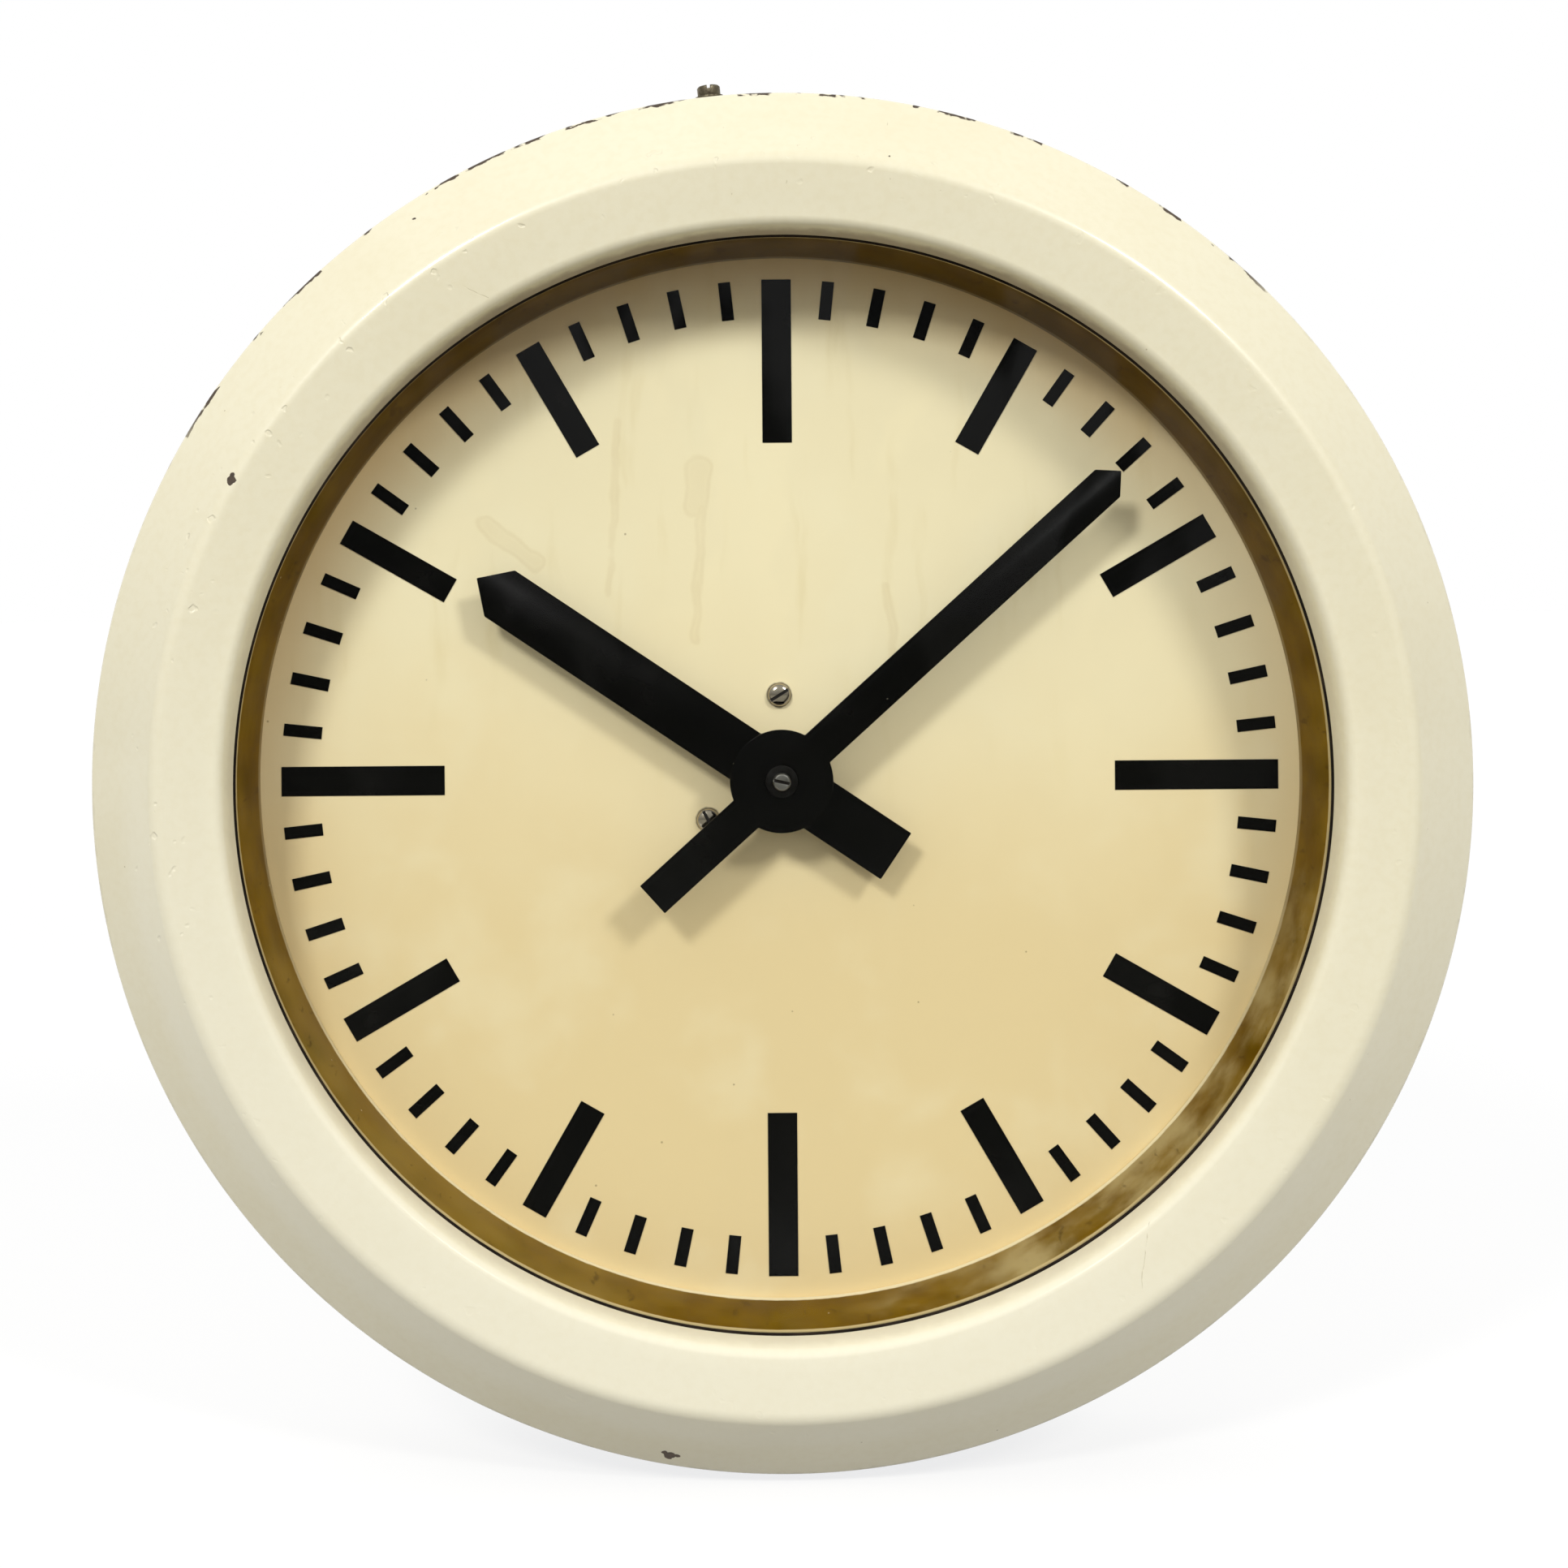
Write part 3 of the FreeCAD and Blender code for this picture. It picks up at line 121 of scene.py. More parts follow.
# %% Wires
class Wire:
    """A socket in a node tree. Sums on it add Math nodes."""

    def __init__(self, finish, socket):
        self.finish = finish
        self.socket = socket

    def maths(self, operation, *operands):
        return self.finish.node("ShaderNodeMath", dict(enumerate(operands)), operation=operation)

    def __add__(self, other):
        return self.maths("ADD", self, other)

    def __sub__(self, other):
        return self.maths("SUBTRACT", self, other)

    def __rsub__(self, other):
        return self.maths("SUBTRACT", other, self)

    def __mul__(self, other):
        return self.maths("MULTIPLY", self, other)

    def __pow__(self, other):
        return self.maths("POWER", self, other)

    def __abs__(self):
        return self.maths("ABSOLUTE", self)

    __radd__ = __add__
    __rmul__ = __mul__

    def most(self, other):
        return self.maths("MAXIMUM", self, other)

    def least(self, other):
        return self.maths("MINIMUM", self, other)

    def step(self, low, high):
        """0 below low, 1 above high, and a smooth rise between; it falls where low is above high."""
        start, end = (0.0, 1.0) if low < high else (1.0, 0.0)
        sockets = {"Value": self, "From Min": min(low, high), "From Max": max(low, high),
                   "To Min": start, "To Max": end}
        return self.finish.node("ShaderNodeMapRange", sockets, interpolation_type="SMOOTHSTEP")


print("a wire can do", [name for name in vars(Wire) if not name.startswith("_")], "and sums")

# %% [markdown]
# Every other node comes from one method, which takes the node's type, its settings and what goes into
# its sockets. The methods after it are short names for what the clock's finishes need again and again:
# places in millimetres, cloudy noise, ragged places, specks, and distances from a spot or a line.


# %% Finishes
MM_PER_M = 1000.0


class Finish:
    """A node tree under construction: a material's, or the world's."""

    def __init__(self, tree):
        self.tree = tree
        self.tree.nodes.clear()

    def node(self, kind, sockets=None, out=0, **settings):
        """Add a node: its settings first, then the values and links of its sockets."""
        made = self.tree.nodes.new(kind)
        for name, value in settings.items():
            setattr(made, name, value)
        for key, value in (sockets or {}).items():
            if isinstance(value, Wire):
                self.tree.links.new(value.socket, made.inputs[key])
            else:
                made.inputs[key].default_value = value
        return Wire(self, made.outputs[out]) if made.outputs else None

    def vectors(self, operation, first, second, out=0):
        """Vector Math on two vectors. SCALE takes a number as its second."""
        key = 3 if operation == "SCALE" else 1
        return self.node("ShaderNodeVectorMath", {0: first, key: second}, out, operation=operation)

    def mix(self, share, low, high):
        """One colour turning into another."""
        return self.node("ShaderNodeMix", {0: share, 6: low, 7: high}, out=2, data_type="RGBA")

    def place(self):
        """The point on the piece in millimetres, in the clock's own frame."""
        return self.vectors("SCALE", self.node("ShaderNodeTexCoord", out=3), MM_PER_M)

    def axes(self, vector):
        """The x, y and z of a vector."""
        parts = self.node("ShaderNodeSeparateXYZ", {0: vector}).socket.node.outputs
        return [Wire(self, part) for part in parts]

    def noise(self, vector, size, detail=2.0, stretch=(1, 1, 1), shift=0.0):
        """Cloudy noise from 0 to 1, whose patches are about as many millimetres wide as size."""
        if stretch != (1, 1, 1) or shift:
            sockets = {"Vector": vector, "Location": (shift,) * 3, "Scale": stretch}
            vector = self.node("ShaderNodeMapping", sockets)
        return self.node("ShaderNodeTexNoise", {"Vector": vector, "Scale": 1 / size, "Detail": detail})

    def shaken(self, vector, size, reach):
        """The place, pushed about by a little noise, so that edges drawn from it are ragged."""
        sockets = {"Vector": vector, "Scale": 1 / size, "Detail": 3.0}
        cloud = self.node("ShaderNodeTexNoise", sockets, out=1)
        push = self.vectors("SCALE", self.vectors("SUBTRACT", cloud, (0.5, 0.5, 0.5)), reach)
        return self.vectors("ADD", vector, push)

    def specks(self, vector, apart, outside, inside):
        """Round specks so many millimetres apart; the other two are their edges, in shares of that."""
        cells = self.node("ShaderNodeTexVoronoi", {"Vector": vector, "Scale": 1 / apart})
        return cells.step(outside, inside)

    def away(self, vector, spot):
        """Distance from a spot, in millimetres."""
        return self.vectors("DISTANCE", vector, spot, out=1)

    def off_line(self, vector, start, end):
        """Distance from a straight line between two spots, in millimetres."""
        run = Vector(end) - Vector(start)
        rest = self.vectors("SUBTRACT", vector, start)
        along = self.vectors("DOT_PRODUCT", rest, tuple(run / run.length_squared), out=1)
        foot = self.vectors("SCALE", tuple(run), self.node("ShaderNodeClamp", {0: along}))
        return self.vectors("DISTANCE", rest, foot, out=1)

    def bump(self, height):
        """A normal from a height in millimetres."""
        return self.node("ShaderNodeBump", {"Height": height, "Distance": 1 / MM_PER_M, "Strength": 1.0})

    def show(self, shader):
        self.node("ShaderNodeOutputMaterial", {0: shader})

    def surface(self, **inputs):
        """Finish with one Principled shader; underscores in names stand for spaces."""
        sockets = {name.replace("_", " "): value for name, value in inputs.items()}
        self.show(self.node("ShaderNodeBsdfPrincipled", sockets))


print("a finish can add", [name for name in vars(Finish) if not name.startswith("_")])

# %% [markdown]
# Colours are written as a paint chart gives them and made linear, because shaders count light. Each
# finish is kept under a name: that of its material slot, or its own where a slot has a variant.


# %% Colours and a shelf for finishes
finishes = {}


def tint(red, green, blue):
    """A colour as a paint chart gives it, from 0 to 255, made linear."""
    def linear(share):
        return share / 12.92 if share <= 0.04045 else ((share + 0.055) / 1.055) ** 2.4
    return (*(linear(part / 255) for part in (red, green, blue)), 1.0)


def new_finish(name):
    """A new material, and its empty tree."""
    material = bpy.data.materials.new(name)
    material.use_nodes = True
    return material, Finish(material.node_tree)


def keep(name, material):
    """Put a finish on the shelf."""
    finishes[name] = material
    print(name, "took", len(material.node_tree.nodes), "nodes")


def strongest(wires):
    """The largest of some wires, point by point."""
    result, *others = wires
    for wire in others:
        result = result.most(wire)
    return result


print("a chart's 128 is", round(tint(128, 128, 128)[0], 3), "of the light")

# %% [markdown]
# ## Lamps
# The clock was pictured in a hall with lamps under a pale ceiling. Two soft lamps above and in front
# of it, on the left and on the right, give the two soft shadows beside each hand. They stand well
# away, so that the top of the ring isn't much nearer to them than the bottom.

# %% Set the lamps
LAMP_SIDE = 0.55
LAMP_AWAY = 3.4
LAMP_RISE = math.radians(32)
LAMP_POWERS = {"lamp_left": (-25, 44.0), "lamp_right": (34, 37.6)}

for name, (bearing, power) in LAMP_POWERS.items():
    light = bpy.data.lights.new(name, "AREA")
    light.size = LAMP_SIDE
    light.energy = power
    lamp = bpy.data.objects.new(name, light)
    flat = LAMP_AWAY * math.cos(LAMP_RISE)
    turn = math.radians(bearing)
    lamp.location = (flat * math.sin(turn), -flat * math.cos(turn), LAMP_AWAY * math.sin(LAMP_RISE))
    lamp.rotation_euler = (-lamp.location).to_track_quat("-Z", "Y").to_euler()
    scene.collection.objects.link(lamp)
    print(name, "stands at", tuple(round(c, 2) for c in lamp.location), "m and has", power, "W")

# %% [markdown]
# ## Hall
# The world stands for the hall. Its light comes from everywhere, a little more of it from the left,
# and fills the shadows. The camera sees it white, and so do glass and metal behind the clock, while in
# front of it they show the dimmer hall, which keeps the blacks deep. Light Path tells these rays from
# the light that falls, so the white puts no more light on the clock.


# %% Light the hall
WORLD_LEVEL, WORLD_LEAN = 0.66, 0.22
HALL_LOW, HALL_HIGH = 0.12, 0.42


def ray_kinds(finish):
    """1 for rays from the camera, and 1 for rays by way of glass or metal; falling light has neither."""
    path = finish.node("ShaderNodeLightPath").socket.node.outputs
    kinds = ("Camera", "Glossy", "Transmission")
    seen, gloss, through = (Wire(finish, path[f"Is {kind} Ray"]) for kind in kinds)
    return seen, gloss.most(through)


world = bpy.data.worlds.new("pale_hall")
world.use_nodes = True
scene.world = world
hall = Finish(world.node_tree)
side, front, height = hall.axes(hall.node("ShaderNodeTexCoord"))
dim = HALL_LOW + (HALL_HIGH - HALL_LOW) * height.step(-0.3, 0.6)
mirrored = dim + (1 - dim) * front.step(-0.1, 0.35)
seen, gloss = ray_kinds(hall)
fill = WORLD_LEVEL * (1 - WORLD_LEAN * side)
level = fill + (mirrored - fill) * gloss
level = level + (1 - level) * seen
sky = hall.node("ShaderNodeBackground", {"Color": (1, 1, 1, 1), "Strength": level})
hall.node("ShaderNodeOutputWorld", {0: sky})
print("the hall took", len(world.node_tree.nodes), "nodes")

# %% [markdown]
# ## Floor
# A plain pale floor lies just under the clock. It keeps the soft shadow and throws a little warm light
# up at the ring. To be white as well, it glows, but only for the camera and, near the wall, for glass
# and metal. The glow is a little cool, so that both together come out white.

# %% Lay the floor
FLOOR_COLOUR, FLOOR_GLOW = (0.247, 0.24, 0.22, 1), (0.993, 1, 1.02, 1)
FLOOR_GLOW_NEAR, FLOOR_GLOW_FAR = 0.79, 0.86
FLOOR_REACH, FLOOR_GAP = 30.0, 0.003

floor_material, pale = new_finish("pale_floor")
seen, gloss = ray_kinds(pale)
spot = pale.place()
spread = pale.node("ShaderNodeVectorMath", {0: spot}, out=1, operation="LENGTH")
glow = FLOOR_GLOW_NEAR + (FLOOR_GLOW_FAR - FLOOR_GLOW_NEAR) * spread.step(400, 4000)
near_wall = pale.axes(spot)[1].step(-500, -100)
glow = glow * seen.most(gloss * near_wall)
matt = pale.node("ShaderNodeBsdfDiffuse", {"Color": FLOOR_COLOUR})
white = pale.node("ShaderNodeEmission", {"Color": FLOOR_GLOW, "Strength": glow})
pale.show(pale.node("ShaderNodeAddShader", {0: matt, 1: white}))

floor_z = cad_box[0].z - FLOOR_GAP
corners = [(-FLOOR_REACH, -FLOOR_REACH), (FLOOR_REACH, -FLOOR_REACH),
           (FLOOR_REACH, FLOOR_REACH), (-FLOOR_REACH, FLOOR_REACH)]
floor_mesh = bpy.data.meshes.new("floor")
floor_mesh.from_pydata([(x, y, floor_z) for x, y in corners], [], [(0, 1, 2, 3)])
floor = bpy.data.objects.new("floor", floor_mesh)
floor.data.materials.append(floor_material)
scene.collection.objects.link(floor)
print("floor at", round(floor_z, 4), "m")

# %% [markdown]
# ## Cream paint
# The ring was stove enamelled in cream and has aged. The colour varies a little. The lower half of the
# face is painted paler, as painted light where it tilts up to the lamps. Dirt and painted shade darken
# the lip, the shade most of all at the top. The rim's edge has chipped down to dark steel along the
# top, and there are larger chips, hairlines and specks. A painted picture could show all that, but it
# would have to be unwrapped and would blur close by. So each mark is worked out from the place on the
# ring, and stays on the metal.


# %% Mix the cream paint
CREAM, CREAM_OLD, CREAM_PAINTED_LIGHT = tint(237, 230, 201), tint(226, 215, 177), tint(243, 239, 220)
LIP_DIRT_AND_SHADE = tint(158, 142, 118)
BARE_STEEL, STEEL_RUST = tint(46, 41, 36), tint(96, 78, 58)
HAIRLINE = tint(168, 152, 112)
# Where marks begin and where they are full: radii from the axis, and depths from the wall.
PAINTED_LIGHT_RADII, BEND_RADII = (202, 194), (175, 169)
LIP_RADII, LIP_DEPTHS = (168.6, 166.8), (84.2, 78.5)
RIM_RADII, RIM_DEPTHS = (209.65, 209.9), (63.2, 64.6)
# Each chip has a place and a radius, and each hairline two ends.
CHIPS = [
    ((-163.5, -86.0, 92.5), 1.5), ((-163.2, -85.6, 94.1), 0.9), ((-35.9, -70.9, -202.6), 1.9),
    ((-33.7, -71.2, -202.9), 1.0), ((-37.5, -71.6, -201.4), 0.9), ((-110.1, -72.4, 171.5), 0.55),
    ((32.5, -84.0, 187.0), 0.5),
]
HAIRLINES = [
    ((-16.6, -77.5, 197.1), (-14.5, -84.9, 176.4)), ((5.0, -83.5, 190.8), (1.9, -85.2, 179.0)),
    ((32.6, -70.5, 205.4), (32.2, -85.7, 180.0)), ((107.1, -83.5, -130.1), (104.4, -86.0, -151.8)),
    ((-93.9, -84.8, 149.9), (-86.8, -83.8, 146.3)),
]


def cream_paint():
    """Aged cream enamel for the front ring, with painted light and shade."""
    material, paint = new_finish("cream_paint")
    place = paint.place()
    x, y, z = paint.axes(place)
    radius = (x * x + z * z) ** 0.5
    depth = 0 - y

    colour = paint.mix(paint.noise(place, 60, 4).step(0.45, 0.8) * 0.35, CREAM, CREAM_OLD)
    colour = paint.mix(paint.noise(place, 2.6, 4).step(0.35, 0.75) * 0.22, colour, CREAM_OLD)
    # Painted light: the lower half of the face is painted paler, where it tilts up to the lamps.
    painted_light_low = (0 - z - x * 0.3).step(-40, 150) * radius.step(*PAINTED_LIGHT_RADII)
    colour = paint.mix(painted_light_low * 0.4, colour, CREAM_PAINTED_LIGHT)
    colour = paint.mix(paint.specks(place, 15.0, 0.026, 0.014) * 0.55, colour, HAIRLINE)
    # Dirt and painted shade darken the lip where it turns in, the shade strongest at the top.
    lip_dirt_and_shade = (depth + paint.noise(place, 5, 3) * 4).step(*LIP_DEPTHS) * radius.step(*LIP_RADII)
    lip_dirt_and_shade = lip_dirt_and_shade * (z.step(50, 140) * 0.55 + 0.25)
    colour = paint.mix(lip_dirt_and_shade, colour, LIP_DIRT_AND_SHADE)

    wavy = paint.shaken(place, 9, 2.4)
    lines = strongest(paint.off_line(wavy, *ends).step(0.22, 0.02) for ends in HAIRLINES)
    colour = paint.mix(lines * 0.45, colour, HAIRLINE)

    top = abs(x.maths("ARCTAN2", x, z) + 0.13).step(1.0, 0.85)
    dashes = paint.noise(place, 9, 3).step(0.515, 0.55)
    rim = (radius + paint.noise(place, 3, 3) * 1.6).step(*RIM_RADII) * depth.step(*RIM_DEPTHS)
    chips = rim * dashes * (top * 0.92 + 0.08)
    ragged = paint.shaken(place, 1.6, 1.4)
    for spot, size in CHIPS:
        chips = chips.most(paint.away(ragged, spot).step(size + 0.12, size - 0.12))
    metal_colour = paint.mix(paint.noise(place, 1.2, 3), BARE_STEEL, STEEL_RUST)
    colour = paint.mix(chips, colour, metal_colour)

    dings = paint.noise(place, 4, 1, shift=40).step(0.7, 0.78)
    dings = dings * radius.step(174, 184) * radius.step(200, 190)
    peel = paint.noise(place, 2.4, 2) * 0.035 + paint.noise(place, 45, 1) * 0.35
    height = peel - dings * ((z - x).step(60, 200) * 0.16 + 0.05) - chips * 0.14 - lines * 0.05
    bend = radius.step(*BEND_RADII) * 0.8
    rough = 0.3 + paint.noise(place, 30, 3) * 0.12 + chips * 0.3 + lip_dirt_and_shade.most(bend) * 0.25
    paint.surface(Base_Color=colour, Roughness=rough, Normal=paint.bump(height), Coat_Roughness=0.1,
                  Coat_Weight=0.45 - chips.most(lip_dirt_and_shade).most(bend) * 0.45)
    return material


keep("cream_paint", cream_paint())

# %% [markdown]
# ## Case paint
# The rear case wears the same enamel, but it hangs on the wall: a grey bloom of dust lies on it, the
# wall has rubbed a ring on the back, the rounded corner has lost a little paint, and rust has crept
# out around the holes for the wall screws. These marks sit elsewhere than the ring's, so the case has
# a recipe of its own.


# %% Mix the case paint
CASE_CREAM, CASE_OLD = tint(232, 225, 197), tint(216, 206, 172)
CASE_DUST, CASE_RUB, CASE_SCRATCH = tint(178, 170, 148), tint(158, 150, 130), tint(134, 126, 108)
CASE_RUST, CASE_WORN = tint(126, 86, 48), tint(86, 76, 64)


def spots_on_circle(radius, bearings):
    """Places on a circle about the clock's axis, at bearings in degrees from the right."""
    turns = [math.radians(bearing) for bearing in bearings]
    return [(radius * math.cos(turn), 0, radius * math.sin(turn)) for turn in turns]


WALL_CIRCLE = 165
WALL_HOLES = spots_on_circle(WALL_CIRCLE, (90, 210, 330))


def case_paint():
    """Dusty, rubbed cream enamel for the rear case."""
    material, paint = new_finish("case_paint")
    place = paint.place()
    x, y, z = paint.axes(place)
    radius = (x * x + z * z) ** 0.5
    back = y.step(-3.5, -1.0)

    colour = paint.mix(paint.noise(place, 70, 5).step(0.3, 0.75), CASE_CREAM, CASE_OLD)
    dust = paint.noise(paint.shaken(place, 40, 30), 18, 5, stretch=(1, 1, 0.3), shift=21)
    dust = dust.step(0.42, 0.8)
    colour = paint.mix(dust * (back * 0.12 + 0.18), colour, CASE_DUST)
    rub = (radius + paint.noise(place, 30, 3) * 16).step(188, 205)
    rub = rub * paint.noise(place, 11, 4, shift=5).step(0.35, 0.7) * back
    colour = paint.mix(rub * 0.4, colour, CASE_RUB)

    fine = paint.noise(paint.shaken(place, 50, 30), 1.6, 2, stretch=(1, 1, 0.04))
    slant = paint.noise(paint.shaken(place, 60, 40), 1.8, 2, stretch=(0.04, 1, 0.9), shift=55)
    scratches = fine.step(0.7, 0.78).most(slant.step(0.72, 0.8))
    scratches = scratches * paint.noise(place, 40, 2, shift=11).step(0.48, 0.62)
    colour = paint.mix(scratches * 0.5, colour, CASE_SCRATCH)

    crept = paint.noise(place, 3, 3) * 5
    rust = strongest((paint.away(place, spot) + crept).step(10, 5.5) for spot in WALL_HOLES)
    run = abs(x + paint.noise(place, 9, 2) * 3 - 1.5).step(2.2, 0.4)
    run = run * z.step(120, 158) * z.step(164, 160) * back
    colour = paint.mix(rust.most(run * 0.35) * 0.7, colour, CASE_RUST)
    corner = (radius + paint.noise(place, 2.5, 3) * 2.4).step(206.2, 206.8) * y.step(-4.6, -3.2)
    worn = corner * paint.noise(place, 7, 3).step(0.57, 0.61)
    colour = paint.mix(worn, colour, CASE_WORN)

    height = paint.noise(place, 2.2, 2) * 0.035 - scratches * 0.02 - worn * 0.12
    rough = 0.34 + dust * 0.16 + rub * 0.2 + worn * 0.15
    paint.surface(Base_Color=colour, Roughness=rough, Normal=paint.bump(height))
    return material


keep("case_paint", case_paint())

# %% [markdown]
# ## Dial paint
# The dial is sheet metal with a yellowed coat. Its colour runs from a lighter top to a warmer, darker
# foot, which is painted light. Pale patches are part faded coat and part painted reflection. Stains run
# down it, its edge is painted darker and browner as shade from the ring, most of all at the top, specks
# lie on it, and the dark rims around the screws are old polish and painted shade under the heads. All
# of it is flat colour under one even sheen, so it is built up by mixing one layer over the other.


# %% Mix the dial paint
DIAL_TOP_PAINTED_LIGHT, DIAL_FOOT_PAINTED_WARM = tint(247, 234, 193), tint(234, 212, 160)
DIAL_STREAK, DIAL_FADE_AND_REFLECTION, DIAL_STAIN = tint(226, 207, 150), tint(249, 239, 202), tint(205, 180, 122)
DIAL_EDGE_SHADE, DIAL_SPECK, SCREW_GRIME_AND_SHADE = tint(214, 180, 122), tint(128, 104, 62), tint(70, 54, 30)
# Each run of stain has two ends and a half width.
RUNS = [
    ((-25, -43, 97), (-26, -43, 86), 3.6), ((-24, -43, 84), (-26, -43, 44), 0.9),
    ((-50, -43, 112), (-53, -43, 58), 0.6), ((-92, -43, 80), (-76, -43, 68), 2.6),
    ((34, -43, 60), (36, -43, 36), 0.7),
]
# The dial screws' bearings, and how far each slot was turned when the screw was tight.
SCREW_SLOTS = {90: 32, 210: 118, 330: 75}
SCREW_CIRCLE = 26
SCREW_SPOTS = spots_on_circle(SCREW_CIRCLE, SCREW_SLOTS)


def nearest_axis(finish, place, spots):
    """Distance from the nearest of some screws' axes, in millimetres."""
    flat = finish.vectors("MULTIPLY", place, (1, 0, 1))
    reach, *others = (finish.away(flat, spot) for spot in spots)
    for other in others:
        reach = reach.least(other)
    return reach


def dial_paint():
    """Yellowed, stained coat for the dial, with painted light and shade."""
    material, paint = new_finish("dial_paint")
    place = paint.place()
    x, _, z = paint.axes(place)
    radius = (x * x + z * z) ** 0.5
    cloud = paint.noise(place, 75, 5)

    # Painted light: the colour runs from a lighter top to a warmer, darker foot.
    colour = paint.mix((z + (cloud - 0.5) * 90).step(-70, 80), DIAL_FOOT_PAINTED_WARM, DIAL_TOP_PAINTED_LIGHT)
    streaks = paint.noise(paint.shaken(place, 30, 10), 9, 3, stretch=(1, 1, 0.12), shift=7)
    colour = paint.mix(streaks.step(0.56, 0.78) * 0.4 * z.step(-60, 70), colour, DIAL_STREAK)
    # Pale patches: part faded coat, part painted reflection.
    fade_and_reflection = paint.noise(paint.shaken(place, 40, 25), 34, 4, shift=90)
    colour = paint.mix(fade_and_reflection.step(0.45, 0.75) * 0.3, colour, DIAL_FADE_AND_REFLECTION)

    wavy = paint.shaken(place, 14, 5)
    stains = []
    for start, end, width in RUNS:
        away = paint.off_line(wavy, start, end)
        outline = abs(away - width).step(1.1, 0.1) * 0.26
        stains.append(outline + away.step(width, width - 1.5) * 0.18)
    stain = strongest(stains) * (0.35 + paint.noise(place, 8, 3) * 0.6)
    colour = paint.mix(stain, colour, DIAL_STAIN)

    # Painted shade: the edge is darker and browner in the ring's shade, most of all at the top.
    edge = (radius + paint.noise(place, 12, 3) * 6).step(136, 170)
    edge = edge * (z.step(-120, 130) * 0.75 + 0.1) * (1 - x.step(90, 150) * 0.6)
    colour = paint.mix(edge, colour, DIAL_EDGE_SHADE)
    colour = paint.mix(paint.specks(place, 16.0, 0.028, 0.016) * 0.55, colour, DIAL_SPECK)
    # Dark rims around the screws: old polish, and painted shade under the heads.
    grime_and_shade = nearest_axis(paint, place, SCREW_SPOTS) + paint.noise(place, 1.5, 2) * 0.6
    colour = paint.mix(grime_and_shade.step(4.6, 3.9) * 0.85, colour, SCREW_GRIME_AND_SHADE)

    height = paint.noise(place, 1.3, 2) * 0.02 + paint.noise(place, 20, 2) * 0.06
    paint.surface(Base_Color=colour, Roughness=0.42 + cloud * 0.16, Normal=paint.bump(height))
    return material


keep("dial_paint", dial_paint())

# %% [markdown]
# ## Blacks
# The bars are black enamel printed a little proud of the dial's coat. The hands are aluminium sheet
# under satin black paint, which is nearly even, with a few pale specks of dust and a faint grain. Black
# turns grey at once when it mirrors too much, so both keep a very low specular level.


# %% Mix the blacks of bars and hands
BLACK_GLOSS = 0.08


def bar_enamel():
    """Black enamel for the dial's bars."""
    material, enamel = new_finish("bar_enamel")
    place = enamel.place()
    dust = enamel.noise(place, 14, 4).step(0.5, 0.8)
    colour = enamel.mix(dust * 0.5, tint(5, 5, 4), tint(17, 16, 13))
    height = enamel.noise(place, 1.1, 2) * 0.02
    enamel.surface(Base_Color=colour, Roughness=0.2 + dust * 0.15, Normal=enamel.bump(height),
                   Specular_IOR_Level=BLACK_GLOSS)
    return material


def hand_black():
    """Satin black paint for the hands."""
    material, paint = new_finish("hand_black")
    place = paint.place()
    haze = paint.noise(place, 26, 4).step(0.45, 0.8)
    colour = paint.mix(haze * 0.5, tint(4, 4, 3), tint(14, 13, 11))
    specks = paint.specks(place, 11.0, 0.03, 0.015)
    colour = paint.mix(specks, colour, tint(120, 114, 98))
    height = paint.noise(place, 0.9, 2) * 0.012 + specks * 0.05
    paint.surface(Base_Color=colour, Roughness=0.22 + haze * 0.1, Normal=paint.bump(height),
                  Specular_IOR_Level=BLACK_GLOSS)
    return material


keep("bar_enamel", bar_enamel())
keep("hand_black", hand_black())

# %% [markdown]
# ## Bronzed band
# The band between dial and glass is bronzed: brown-gold and cloudy, painted darker at the top as shade
# from the ring, paler at the lower left, and paler in patches at the lower right. Its front edge is
# dusty, and its foot has a painted highlight along the lower half. A plain metal would mirror the hall
# and lose its colour, so it is only partly metallic and its gloss is tinted.


# %% Mix the bronze
BRONZE_DEEP, BRONZE_GOLD, BRONZE_TOP_SHADE = tint(108, 81, 0), tint(130, 101, 4), tint(58, 43, 2)
BRONZE_PALE, BRONZE_PALE_PATCH, BRONZE_STAIN = tint(158, 134, 66), tint(176, 158, 110), tint(66, 48, 16)
BAND_DUST, BAND_FOOT_HIGHLIGHT, BAND_SPECK = tint(196, 176, 128), tint(248, 238, 204), tint(208, 198, 168)
BRONZE_SHEEN = tint(150, 112, 40)


